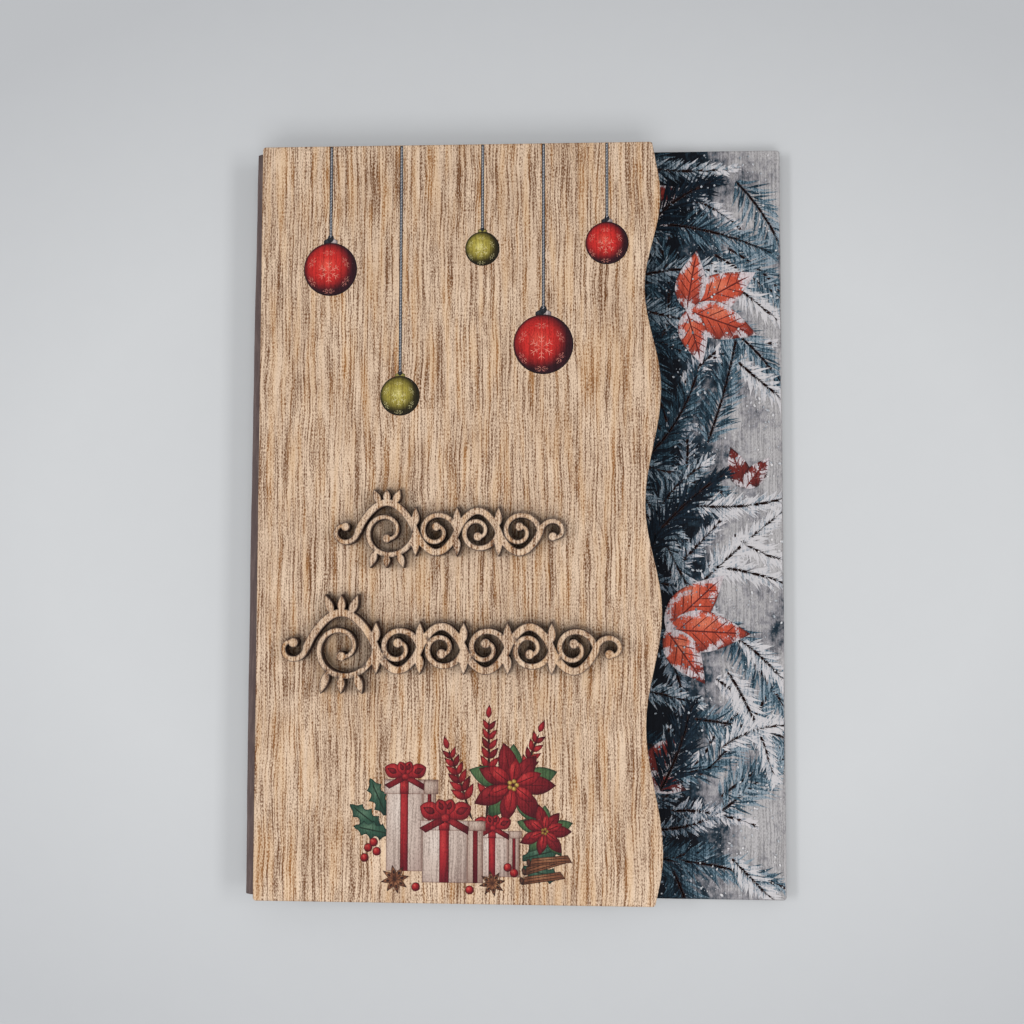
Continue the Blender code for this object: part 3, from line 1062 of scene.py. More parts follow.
@dataclass
class SpineStrip:
    """The cloth strip: a flange on the back board, an outward fold and a flange under the cover."""

    book: Book
    material: Material
    thickness: float = 0.5 * MM
    glue: float = 0.05 * MM
    stations: int = 60
    fold_steps: int = 18
    flange_steps: int = 4
    fold_power: float = 0.85
    ripple: float = 0.08 * MM
    ripple_waves: Point = (23.0, 61.0)
    ease: float = 0.6 * MM
    peak_share: float = 0.27

    def section(self, bulge: float) -> Outline:
        """Return the strip's middle line at one place along the spine.

        Args:
            bulge: How far the fold's middle line stands out from the boards' edges.

        Returns:
            Places across and up, from the lower flange to the upper one.
        """
        left, right = self.book.cover.low.x, self.book.strip.high.x
        low = self.book.back.high.z + self.glue + self.thickness / 2
        high = self.book.cover.low.z - self.glue - self.thickness / 2
        flange = [right + (left - right) * step / self.flange_steps for step in range(self.flange_steps)]
        line = [(x, low) for x in flange]
        for step in range(self.fold_steps + 1):
            angle = math.pi * step / self.fold_steps
            height = (low + high) / 2 - (high - low) / 2 * math.cos(angle)
            line.append((left - bulge * math.sin(angle) ** self.fold_power, height))
        return line + [(x, high) for x in flange[::-1]]

    def bulge(self, share: float) -> float:
        """Return how far the fold stands out at a share of the spine, fullest near its peak."""
        widest = self.book.cover.low.x - self.book.strip.low.x - self.thickness / 2
        drop = self.ease * ((share - self.peak_share) / (1 - self.peak_share)) ** 2
        slow, quick = self.ripple_waves
        wave = math.sin(share * slow + math.sin(share * quick))
        return widest - drop - self.ripple * (1 + wave) / 2

    def build(self) -> Piece:
        """Return the strip, bent between both bodies."""
        near, far = self.book.strip.low.y, self.book.strip.high.y
        shape = bmesh.new()
        uv = shape.loops.layers.uv.new("cloth")
        rows = []
        run = 0.0
        for station in range(self.stations + 1):
            share = station / self.stations
            y = near + (far - near) * share
            line = self.section(self.bulge(share))
            lengths = [0.0]
            for one, other in zip(line, line[1:]):
                lengths.append(lengths[-1] + math.dist(one, other))
            run = max(run, lengths[-1])
            rows.append([(shape.verts.new((x, y, z)), (length, y)) for (x, z), length in zip(line, lengths)])
        for row, following in zip(rows, rows[1:]):
            for index in range(len(row) - 1):
                corners = (row[index], row[index + 1], following[index + 1], following[index])
                face = shape.faces.new([corner[0] for corner in corners])
                for loop, corner in zip(face.loops, corners):
                    loop[uv].uv = corner[1]
        bmesh.ops.recalc_face_normals(shape, faces=shape.faces)
        mesh = bpy.data.meshes.new("spine_cloth")
        shape.to_mesh(mesh)
        shape.free()
        mesh.materials.append(self.material)
        mesh.shade_smooth()
        strip = add_object("spine_cloth", mesh)
        wall = strip.modifiers.new("cloth_thickness", "SOLIDIFY")
        wall.thickness = self.thickness
        wall.offset = 0
        strip = plain_copy(strip)
        middle = (self.book.cover.low.x, (near + far) / 2)
        low = self.book.back.high.z + self.glue + self.thickness
        high = self.book.cover.low.z - self.glue - self.thickness
        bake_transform(strip, "back", "cover", start=(*middle, low), end=(*middle, high))
        settle(strip, "back", ["spine_strip"])
        return strip


class Recipe(NodeBench):
    """A Geometry Nodes tree with named inputs, run on one object and kept as a plain mesh."""

    def __init__(self, name: str) -> None:
        """Start the tree with its geometry sockets."""
        super().__init__(bpy.data.node_groups.new(name, "GeometryNodeTree"))
        self.identifiers: dict[str, str] = {}
        for way in ("INPUT", "OUTPUT"):
            self.tree.interface.new_socket("Geometry", in_out=way, socket_type="NodeSocketGeometry")
        self.inlet = self.tree.nodes.new("NodeGroupInput")
        self.outlet = self.tree.nodes.new("NodeGroupOutput")

    def numbers(self, *names: str, kind: str = "Float") -> list[Socket]:
        """Add named inputs of one kind and return their sockets inside the tree."""
        for name in names:
            item = self.tree.interface.new_socket(name, in_out="INPUT", socket_type=f"NodeSocket{kind}")
            self.identifiers[name] = item.identifier
        return [self.inlet.outputs[name] for name in names]

    def plate(self, sides: int, length: object, width: object, thickness: object) -> Socket:
        """Return a flat closed plate that starts at zero and runs along X."""
        prism = self.add("GeometryNodeMeshCylinder", {"Vertices": sides, "Radius": 0.5, "Depth": 1.0})
        moved = self.moved(prism, Translation=self.vector(0.5, 0.0, 0.5))
        return self.moved(moved, Scale=self.vector(length, width, thickness))

    def moved(self, geometry: object, **given: object) -> Socket:
        """Return the geometry moved, turned or scaled as a whole."""
        return self.add("GeometryNodeTransform", {"Geometry": geometry, **given})

    def lifted(self, points: object, height: object) -> Socket:
        """Return points raised by a height of their own."""
        return self.add("GeometryNodeSetPosition", {"Geometry": points, "Offset": self.vector(z=height)})

    def copies(self, points: object, shape: object, turn: object, scale: object = (1, 1, 1)) -> Socket:
        """Return a copy of a shape on each point, turned about Z and scaled."""
        given = {"Points": points, "Instance": shape, "Rotation": self.vector(z=turn), "Scale": scale}
        return self.add("GeometryNodeInstanceOnPoints", given)

    def joined(self, parts: Sequence[Socket]) -> Socket:
        """Return several parts as one geometry."""
        node = self.node("GeometryNodeJoinGeometry")
        for part in parts:
            self.tree.links.new(part, node.inputs[0])
        return node.outputs[0]

    def keep(self, geometry: object, name: str, value: object, domain: str) -> Socket:
        """Store a number on the geometry under a name that a finish reads."""
        given = {"Geometry": geometry, "Name": name, "Value": value}
        return self.add("GeometryNodeStoreNamedAttribute", given, data_type="FLOAT", domain=domain)

    def chance(self, low: object, high: object, seed: object, shift: int = 0) -> Socket:
        """Return a random number for each point or instance, from the seed plus a shift."""
        if shift:
            seed = self.math("ADD", seed, shift)
        node = self.node("FunctionNodeRandomValue", {2: low, 3: high, 8: seed}, data_type="FLOAT")
        return node.outputs[1]

    def named(self, name: str) -> Socket:
        """Return a number stored under a name."""
        node = self.node("GeometryNodeInputNamedAttribute", {"Name": name}, data_type="FLOAT")
        return node.outputs["Attribute"]

    def close(self, geometry: object, material: Material) -> None:
        """End the tree: make the instances real and give them their material."""
        real = self.add("GeometryNodeRealizeInstances", {"Geometry": geometry})
        dressed = self.add("GeometryNodeSetMaterial", {"Geometry": real, "Material": material})
        self.feed(self.outlet.inputs["Geometry"], dressed)

    def run(self, name: str, mesh: Mesh, values: dict[str, object]) -> Piece:
        """Return the tree's result on a mesh as a plain object.

        Args:
            name: The new piece's name.
            mesh: What the tree grows its copies on.
            values: A value for each named input.

        Returns:
            The plain mesh object.
        """
        source = add_object(name, mesh)
        modifier = source.modifiers.new("recipe", "NODES")
        modifier.node_group = self.tree
        for key, value in values.items():
            modifier[self.identifiers[key]] = value
        return plain_copy(source)


class FrondRecipe(Recipe):
    """Needles on both sides of each twig, longest near its foot and cut off at the board's rim."""

    knot_length: float = 2.4
    knot_width: float = 1.3
    knot_height: float = 0.45
    foot_growth: float = 5.0
    foot_share: float = 0.45
    tip_power: float = 3.0
    tip_loss: float = 0.55
    tip_closing: float = 0.45
    stray: float = 0.28
    size_span: Point = (0.6, 1.15)

    def __init__(self, name: str, material: Material) -> None:
        """Build the tree for one finish."""
        super().__init__(name)
        self.spacing, self.length, width, thickness, self.spread, depth = self.numbers(
            "Spacing", "Length", "Width", "Thickness", "Spread", "Depth",
        )
        self.seed, = self.numbers("Seed", kind="Int")
        low, high = self.numbers("Low corner", "High corner", kind="Vector")
        spot = self.add("GeometryNodeInputPosition")
        needle = self.keep(self.plate(4, 1.0, width, thickness), "reach", self.split(spot)[0], "POINT")
        along, across = (
            self.math("MULTIPLY", size, share)
            for size, share in ((self.spacing, self.knot_length), (width, self.knot_width))
        )
        knot = self.keep(self.plate(4, along, across, thickness), "bark", 1.0, "POINT")
        curve = self.add("GeometryNodeMeshToCurve", {0: self.inlet.outputs[0]})
        curve = self.keep(curve, "along", self.add("GeometryNodeSplineParameter"), "POINT")
        given = {"Curve": curve, "Length": self.spacing}
        points = self.node("GeometryNodeCurveToPoints", given, mode="LENGTH")
        held = self.vectors("MINIMUM", self.vectors("MAXIMUM", spot, low), high)
        past = self.node("ShaderNodeVectorMath", {0: spot, 1: held}, operation="DISTANCE").outputs["Value"]
        given = {0: points.outputs["Points"], 1: self.math("LESS_THAN", past, 1e-9)}
        kept = self.add("GeometryNodeSeparateGeometry", given, domain="POINT")
        raised = self.lifted(kept, self.chance(0.0, depth, self.seed))
        way = self.split(points.outputs["Tangent"])
        heading = self.math("ARCTAN2", way[1], way[0])
        parts = [self._side(raised, needle, heading, side) for side in (1, -1)]
        between = self.lifted(kept, self.math("MULTIPLY", depth, self.knot_height))
        parts.append(self.copies(between, knot, heading))
        real = self.add("GeometryNodeRealizeInstances", {"Geometry": self.joined(parts)})
        self.close(self.add("GeometryNodeSetPosition", {"Geometry": real, "Position": held}), material)

    def _side(self, points: object, needle: object, heading: object, side: int) -> Socket:
        """Return the needles on one side of the twigs.

        Args:
            points: Where the needles stand.
            needle: One needle, a unit long.
            heading: The way that the twig runs at each point.
            side: 1 for its left side and -1 for its right.

        Returns:
            The needles, each with a tint of its own.
        """
        along = self.named("along")
        given = {0: along, 1: self.foot_growth, 2: self.foot_share}
        foot = self.add("ShaderNodeMath", given, operation="MULTIPLY_ADD", use_clamp=True)
        loss = self.math("MULTIPLY", self.math("POWER", along, self.tip_power), self.tip_loss)
        tip = self.math("SUBTRACT", 1.0, loss)
        lively = self.math("MULTIPLY", self.chance(*self.size_span, self.seed, 3 + side), self.length)
        size = self.math("MULTIPLY", self.math("MULTIPLY", foot, tip), lively)
        open_angle = self.math("SUBTRACT", self.spread, self.math("MULTIPLY", along, self.tip_closing))
        lean = self.math("ADD", heading, self.math("MULTIPLY", open_angle, side))
        angle = self.math("ADD", lean, self.chance(-self.stray, self.stray, self.seed, 7 + side))
        grown = self.copies(points, needle, angle, self.vector(size, 1.0, 1.0))
        return self.keep(grown, "tint", self.chance(0.0, 1.0, self.seed, 11 + side), "INSTANCE")


class BeadRecipe(Recipe):
    """Slanted beads along each line, light and dark in turn, like a twisted thread."""

    def __init__(self, name: str, material: Material) -> None:
        """Build the tree for one finish."""
        super().__init__(name)
        spacing, length, width, thickness, slant = self.numbers(
            "Spacing", "Length", "Width", "Thickness", "Slant",
        )
        back = self.vector(self.math("MULTIPLY", length, -0.5))
        bead = self.moved(self.plate(8, length, width, thickness), Translation=back)
        curve = self.add("GeometryNodeMeshToCurve", {0: self.inlet.outputs[0]})
        points = self.add("GeometryNodeCurveToPoints", {"Curve": curve, "Length": spacing}, mode="LENGTH")
        tint = self.math("MODULO", self.add("GeometryNodeInputIndex"), 2.0)
        self.close(self.keep(self.copies(points, bead, slant), "tint", tint, "INSTANCE"), material)


class StarRecipe(Recipe):
    """A six-armed snow star on each point, as large as the point's own size says."""

    barbs: tuple[Point, ...] = ((0.36, 0.26), (0.62, 0.34))
    barb_angle: float = 0.9

    def __init__(self, name: str, material: Material) -> None:
        """Build the tree for one finish."""
        super().__init__(name)
        arms, = self.numbers("Arms", kind="Int")
        stroke, thickness = self.numbers("Stroke", "Thickness")
        strokes = [self.plate(4, 1.0, stroke, thickness)]
        for place, reach in self.barbs:
            for side in (1, -1):
                turn = (0, 0, side * self.barb_angle)
                barb = self.plate(4, reach, stroke, thickness)
                strokes.append(self.moved(barb, Translation=(place, 0, 0), Rotation=turn))
        ring = self.add("GeometryNodeMeshCircle", {"Vertices": arms, "Radius": 0.0})
        turns = self.math("MULTIPLY", self.add("GeometryNodeInputIndex"), math.tau)
        lean = self.math("ADD", self.math("DIVIDE", turns, arms), math.pi / 2)
        star = self.copies(ring, self.joined(strokes), lean)
        size = self.vector(self.named("wide"), self.named("tall"), 1.0)
        self.close(self.copies(self.inlet.outputs[0], star, self.named("lean"), size), material)


class SnowRecipe(Recipe):
    """Small flakes strewn on a field in drifts."""

    drift_span: Point = (0.44, 0.62)
    drift_share: Point = (0.06, 1.0)
    smallest_share: float = 0.25
    size_power: float = 3.0
    length_span: Point = (0.8, 1.7)

    def __init__(self, name: str, material: Material) -> None:
        """Build the tree for one finish."""
        super().__init__(name)
        density, radius, thickness, depth, drift = self.numbers(
            "Density", "Radius", "Thickness", "Depth", "Drift scale",
        )
        seed, = self.numbers("Seed", kind="Int")
        ground = self.add("GeometryNodeSubdivideMesh", {"Mesh": self.inlet.outputs[0], "Level": 6})
        cloud = self.add("ShaderNodeTexNoise", {"Scale": drift, "Detail": 3.0, "Roughness": 0.6})
        thick = self.math("MULTIPLY", density, self.stretch(cloud, self.drift_span, self.drift_share))
        given = {"Mesh": ground, "Density": thick, "Seed": seed}
        points = self.add("GeometryNodeDistributePointsOnFaces", given)
        raised = self.lifted(points, self.chance(0.0, depth, seed))
        share = self.math("POWER", self.chance(0.0, 1.0, seed, 1), self.size_power)
        wide = self.math("MULTIPLY", share, radius)
        size = self.math("ADD", wide, self.math("MULTIPLY", radius, self.smallest_share))
        scale = self.vector(self.math("MULTIPLY", size, self.chance(*self.length_span, seed, 5)), size, 1.0)
        flake = self.plate(5, 1.0, 1.0, thickness)
        flakes = self.copies(raised, flake, self.chance(0.0, math.tau, seed, 2), scale)
        self.close(self.keep(flakes, "tint", self.chance(0.0, 1.0, seed, 4), "INSTANCE"), material)


def line_mesh(name: str, lines: Sequence[Sequence[Place]]) -> Mesh:
    """Return a mesh of open lines."""
    edges = []
    start = 0
    for line in lines:
        edges += [(start + i, start + i + 1) for i in range(len(line) - 1)]
        start += len(line)
    return new_mesh(name, [p for line in lines for p in line], edges)


class BallKind(Enum):
    """The two colours of hanging baubles."""

    RED = Tone.RED_BALL
    OLIVE = Tone.OLIVE_BALL


class Bauble(NamedTuple):
    """One printed bauble, placed from the cover's near left corner."""

    x: float
    y: float
    radius: float
    kind: BallKind


@dataclass
class HangingBaubles:
    """The row of printed baubles that hang on twisted threads from the cover's far edge."""

    book: Book
    grain: Grain
    ink: Material
    baubles: tuple[Bauble, ...] = (
        Bauble(*mm(15.9, 141.5, 6.1), BallKind.RED),
        Bauble(*mm(32.0, 112.5, 4.5), BallKind.OLIVE),
        Bauble(*mm(50.5, 145.9, 3.9), BallKind.OLIVE),
        Bauble(*mm(64.3, 124.0, 6.75), BallKind.RED),
        Bauble(*mm(78.6, 146.9, 4.85), BallKind.RED),
    )
    half_cap: Outline = ((0, 0), (1, 0), (1, 0.62), (0.42, 1), (0, 1))
    cap_share: Point = (0.26, 0.22)
    cap_foot_share: float = 0.95
    fine: float = 0.3 * MM
    thread_width: float = 0.7 * MM
    thread_gap: float = 0.15 * MM
    bead_pitch: float = 0.34 * MM
    bead_rise: float = 0.012 * MM
    bead: tuple[float, ...] = mm(0.52, 0.22, 0.006)
    bead_slant: float = 0.75
    ring_share: Point = (0.45, 0.55)
    star_shift: Point = (-0.06, -0.1)
    star_stroke: float = 0.045
    star_share: float = 0.46
    rim_star_share: Point = (0.12, 0.26)
    rim_star_reach: float = 0.72
    arms: int = 6

    def build(self) -> None:
        """Make the balls with their caps, then the threads and the stars on top."""
        sheet = InkSheet("bauble_print", self.book.cover.high.z)
        for bauble in self.baubles:
            self._ball(sheet, bauble)
        threads = sheet.top
        for bauble in self.baubles:
            self._thread_core(sheet, bauble)
        settle(sheet.build(self.ink), "cover")
        self._threads(threads)
        self._stars(sheet.top)

    def _ball(self, sheet: InkSheet, bauble: Bauble) -> None:
        """Lay one ball and its cap on the print.

        Args:
            sheet: The print.
            bauble: The ball's place, size and kind.
        """
        x, y = self.book.at(bauble.x, bauble.y)
        wide, tall = (share * bauble.radius for share in self.cap_share)
        foot = y + bauble.radius * self.cap_foot_share
        caps = (Tone.CAP_OLIVE, Tone.CAP_OLIVE)
        if bauble.kind is BallKind.RED:
            caps = (Tone.CAP_DARK, Tone.CAP_PALE)
        for side, tone in zip((-1, 1), caps):
            corners = [(x + side * wide * across, foot + tall * up) for across, up in self.half_cap]
            sheet.add(corners[::side], tone, self.fine)
        sheet.add(ellipse((x, y), (bauble.radius, bauble.radius), 72), bauble.kind.value, self.fine)
        ring = tuple(wide * share for share in self.ring_share)
        sheet.add(ellipse((x, foot + tall), ring, 16), Tone.CAP_DARK, self.fine)

    def _thread_ends(self, bauble: Bauble) -> Place:
        """Return where a bauble's thread lies, where it starts and where it meets the far edge."""
        x, low = self.book.at(bauble.x, bauble.y + bauble.radius * (self.cap_foot_share + self.cap_share[1]))
        return x, low, self.book.cover.high.y - self.thread_gap

    def _thread_core(self, sheet: InkSheet, bauble: Bauble) -> None:
        """Lay the dark band that shows at both sides of the thread."""
        x, low, high = self._thread_ends(bauble)
        left, right = x - self.thread_width / 2, x + self.thread_width / 2
        sheet.add([(left, low), (right, low), (right, high), (left, high)], Tone.CAP_DARK)

    def _threads(self, height: float) -> None:
        """Make the pale strands, slanted in two rows, of the twisted threads.

        Args:
            height: The level of the dark bands that the strands lie on.
        """
        finish = NeedleInk("thread_ink", inks((0.0, 120, 124, 132), (1.0, 168, 168, 172))).make(self.grain)
        level = height + self.bead_rise
        lines = []
        for bauble in self.baubles:
            x, low, high = self._thread_ends(bauble)
            lines.append([(x, low + self.bead_pitch, level), (x, high - self.bead_pitch, level)])
        values = dict(zip(("Length", "Width", "Thickness"), self.bead))
        values |= {"Spacing": self.bead_pitch, "Slant": self.bead_slant}
        recipe = BeadRecipe("twisted_threads", finish)
        settle(recipe.run("bauble_threads", line_mesh("threads", lines), values), "cover")

    def _stars(self, height: float) -> None:
        """Draw a snow star on each ball and smaller ones round its rim, narrowed by the ball's curve.

        Args:
            height: The level that the stars lie on.
        """
        points = []
        sizes = []
        for bauble in self.baubles:
            radius = bauble.radius
            across, up = self.star_shift
            x, y = self.book.at(bauble.x + across * radius, bauble.y + up * radius)
            tint = 0.0 if bauble.kind is BallKind.RED else 1.0
            points.append((x, y, height))
            sizes.append((radius * self.star_share, radius * self.star_share, 0.0, tint))
            for step in range(self.arms):
                angle = math.tau * (step + 0.5) / self.arms
                points.append((*turned((radius * self.rim_star_reach, 0), angle, (x, y)), height))
                sizes.append((*(radius * share for share in self.rim_star_share), angle, tint))
        wide, tall, lean, tint = zip(*sizes)
        mesh = new_mesh("star_places", points, wide=wide, tall=tall, lean=lean, tint=tint)
        finish = NeedleInk("star_ink", inks((0.0, 226, 136, 126), (1.0, 222, 214, 158))).make(self.grain)
        values = {"Arms": self.arms, "Stroke": self.star_stroke, "Thickness": self.bead[2]}
        settle(StarRecipe("snow_stars", finish).run("bauble_stars", mesh, values), "cover")


@dataclass
class StillLife:
    """The printed group under the scrollwork: gift boxes with bows, winter blooms, holly and spices.

    Places and sizes are in millimetres, from the group's near left corner.
    """

    book: Book
    ink: Material
    sheet: InkSheet = field(init=False)
    corner: Point = (21.7, 2.0)
    stems: tuple = (((30, 14), (32, 38.5), 8), ((33, 14), (43, 35), 8), ((27, 16), (22.5, 32), 6))
    holly: tuple = (
        ((7, 14), 2.5, 9), ((8, 17), 2.0, 9), ((9, 13), 2.95, 8.5),
        ((38, 8), 0.25, 9), ((38, 6), -0.25, 9), ((40, 10), 0.8, 8),
    )
    blooms: tuple = (((36, 24), 9.5), ((43, 14), 6.0))
    gifts: tuple = (((8, 5), (11, 20)), ((28, 4), (9.5, 10)), ((16, 2.6), (13.5, 13.5)))
    cinnamon: tuple = (((38, 3.2), 0.15), ((38.5, 5.2), 0.3), ((39.5, 7.2), 0.1))
    anise: tuple = (((10, 3.2), 3.2), ((31.5, 2.6), 2.9))
    berries: tuple = (
        (4, 10), (5.9, 9.2), (5.2, 11.2), (14.6, 1.6), (34.9, 6.1), (36.3, 4.9), (26.5, 1.1), (3.2, 7.8),
    )
    rings: tuple = (
        (5, 1.08, Tone.LEAF_GREEN, 0.3), (7, 1.0, Tone.CRIMSON_DEEP, 0.0), (6, 0.72, Tone.CRIMSON, 0.4),
    )
    wrap: tuple = (
        (0.0, 0.74, Tone.CREAM), (0.74, 1.0, Tone.CREAM_SHADE),
        (0.28, 0.44, Tone.CRIMSON), (0.83, 0.91, Tone.CRIMSON_DEEP),
    )
    lid_share: float = 0.16
    lid_reach: float = 0.5

    def build(self) -> None:
        """Make the print, from the back of the group to its front."""
        self.sheet = InkSheet("gift_print", self.book.cover.high.z)
        for parts, lay in (
            (self.stems, self._stem), (self.holly, self._holly), (self.blooms, self._bloom),
            (self.gifts, self._gift), (self.cinnamon, self._cinnamon), (self.anise, self._anise),
        ):
            for part in parts:
                lay(*part)
        for place in self.berries:
            self._dot(place, (0.95, 0.95), Tone.BERRY)
        settle(self.sheet.build(self.ink), "cover")

    def _at(self, place: Point) -> Point:
        """Return a place of the group on the cover, in metres."""
        return self.book.at(*((start + value) * MM for start, value in zip(self.corner, place)))

    def _dot(self, place: Point, radii: Point, tone: Tone, steps: int = 18, turn: float = 0.0) -> None:
        """Lay an ellipse."""
        self.sheet.add(ellipse(self._at(place), mm(*radii), steps, turn), tone, 0.3 * MM)

    def _blade(self, place: Point, angle: float, size: Point, profile: Profile, tone: Tone,
               steps: int = 16, bend: float = 0.0, spacing: float = 0.4) -> None:
        """Lay a leaf, a petal or a bar of the given length and width."""
        outline = blade(self._at(place), angle, *mm(*size), profile, steps, bend * MM)
        self.sheet.add(outline, tone, spacing * MM)

    def _bar(self, low: Point, high: Point, tone: Tone, steps: int = 6) -> None:
        """Lay an upright rectangle.

        Args:
            low, high: Its lower left and upper right corners.
            tone: Its wash.
            steps: How many pieces each side has.
        """
        (left, bottom), (right, top) = self._at(low), self._at(high)
        corners = [(left, bottom), (right, bottom), (right, top), (left, top)]
        outline = []
        for one, other in zip(corners, corners[1:] + corners[:1]):
            outline += [tuple(a + (b - a) * s / steps for a, b in zip(one, other)) for s in range(steps)]
        self.sheet.add(outline, tone)

    def _gift(self, corner: Point, size: Point) -> None:
        """Lay a wrapped box with its lid, its ribbon and its bow.

        Args:
            corner: The box's lower left corner.
            size: Its width and height.
        """
        x, y = corner
        wide, tall = size
        over = self.lid_reach / wide
        lid = ((-over, 0.76, Tone.CREAM), (0.76, 1 + over, Tone.CREAM_SHADE), (0.27, 0.45, Tone.CRIMSON))
        for bars, low in ((self.wrap, y), (lid, y + tall - tall * self.lid_share)):
            for left, right, tone in bars:
                self._bar((x + wide * left, low), (x + wide * right, y + tall), tone)
        knot = (x + wide * 0.38, y + tall + 0.6)
        reach = wide * 0.46
        for angle in (-0.5, math.pi + 0.5):
            self._blade(knot, angle, (reach, reach * 0.26), straight, Tone.CRIMSON_DEEP, 8)
        for angle, share in ((0.42, 1.0), (math.pi - 0.42, 1.0), (1.25, 0.7), (1.95, 0.7)):
            length = reach * share
            self._blade(knot, angle, (length, length * 0.62), loop_shape, Tone.CRIMSON)
            inner = turned((length * 0.42, 0), angle, knot)
            self._blade(inner, angle, (length * 0.46, length * 0.26), ovate, Tone.CRIMSON_DEEP, 10)
        self._dot(knot, (reach * 0.17, reach * 0.15), Tone.CRIMSON)

    def _holly(self, foot: Point, angle: float, length: float) -> None:
        """Lay a spiny leaf with its midrib."""
        self._blade(foot, angle, (length, length * 0.52), spiny, Tone.PINE_GREEN, 32)
        self._blade(foot, angle, (length * 0.9, 0.3), straight, Tone.LEAF_GREEN, 8)

    def _stem(self, foot: Point, tip: Point, leaves: int) -> None:
        """Lay an upright twig with pairs of small red leaves.

        Args:
            foot, tip: Where it starts and ends.
            leaves: How many pairs it has.
        """
        run = math.dist(foot, tip)
        angle = math.atan2(tip[1] - foot[1], tip[0] - foot[0])
        bend = run * 0.06
        self._blade(foot, angle, (run, 0.5), straight, Tone.BARK_DARK, 14, bend)
        for step in range(leaves):
            share = 0.3 + 0.68 * step / leaves
            root = turned((share * run, bend * share * share), angle, foot)
            size = 4.6 * (1 - 0.45 * share)
            for side in (1, -1):
                lean = angle + side * (0.8 - 0.25 * share)
                tone = Tone.CRIMSON if (step + side) % 3 else Tone.CRIMSON_DEEP
                self._blade(root, lean, (size, size * 0.42), ovate, tone, 12)
        self._blade(turned((run, bend), angle, foot), angle, (3, 1.3), ovate, Tone.CRIMSON, 12)

    def _bloom(self, middle: Point, reach: float) -> None:
        """Lay a winter bloom: green leaves, two rings of red bracts and a yellow heart.

        Args:
            middle: The bloom's middle.
            reach: The length of its longest bracts.
        """
        for count, share, tone, turn in self.rings:
            vein = Tone.CRIMSON_DEEP if tone is Tone.CRIMSON else Tone.CRIMSON
            for step in range(count):
                angle = math.tau * step / count + turn
                length = reach * share * (1 - 0.12 * (step % 2))
                self._blade(middle, angle, (length, length * 0.46), pointed, tone, spacing=0.45)
                if tone is not Tone.LEAF_GREEN:
                    self._blade(middle, angle, (length * 0.8, 0.16), straight, vein, 6, spacing=0.5)
        for step in range(5):
            spot = turned((reach * 0.09, 0), math.tau * step / 5, middle)
            self._dot(spot, (reach * 0.055, reach * 0.055), Tone.POLLEN, 12)

    def _cinnamon(self, foot: Point, angle: float) -> None:
        """Lay a rolled stick of bark with its dark open end."""
        self._blade(foot, angle, (9.5, 1.7), straight, Tone.BARK, 12)
        for offset in (-0.35, 0.3):
            line = turned((0.3, offset), angle, foot)
            self._blade(line, angle, (8.8, 0.16), straight, Tone.BARK_DARK, 8, spacing=0.5)
        self._dot(foot, (0.45, 0.85), Tone.BARK_DARK, 16, angle)

    def _anise(self, middle: Point, reach: float) -> None:
        """Lay a star of eight pods, each with its seed."""
        for step in range(8):
            angle = math.tau * step / 8 + 0.2
            self._blade(middle, angle, (reach, reach * 0.36), ovate, Tone.BARK, 12)
            seed = turned((reach * 0.5, 0), angle, middle)
            self._dot(seed, (reach * 0.13, reach * 0.08), Tone.BARK_DARK, 12, angle)


@dataclass(frozen=True)
class FrondLayer:
    """One depth of the winter print: its inks, twigs and needles, and how far it follows the daylight."""

    name: str
    stops: Stops
    count: int
    length: Point
    needle: Point
    spread: float
    seed: int
    light_share: float


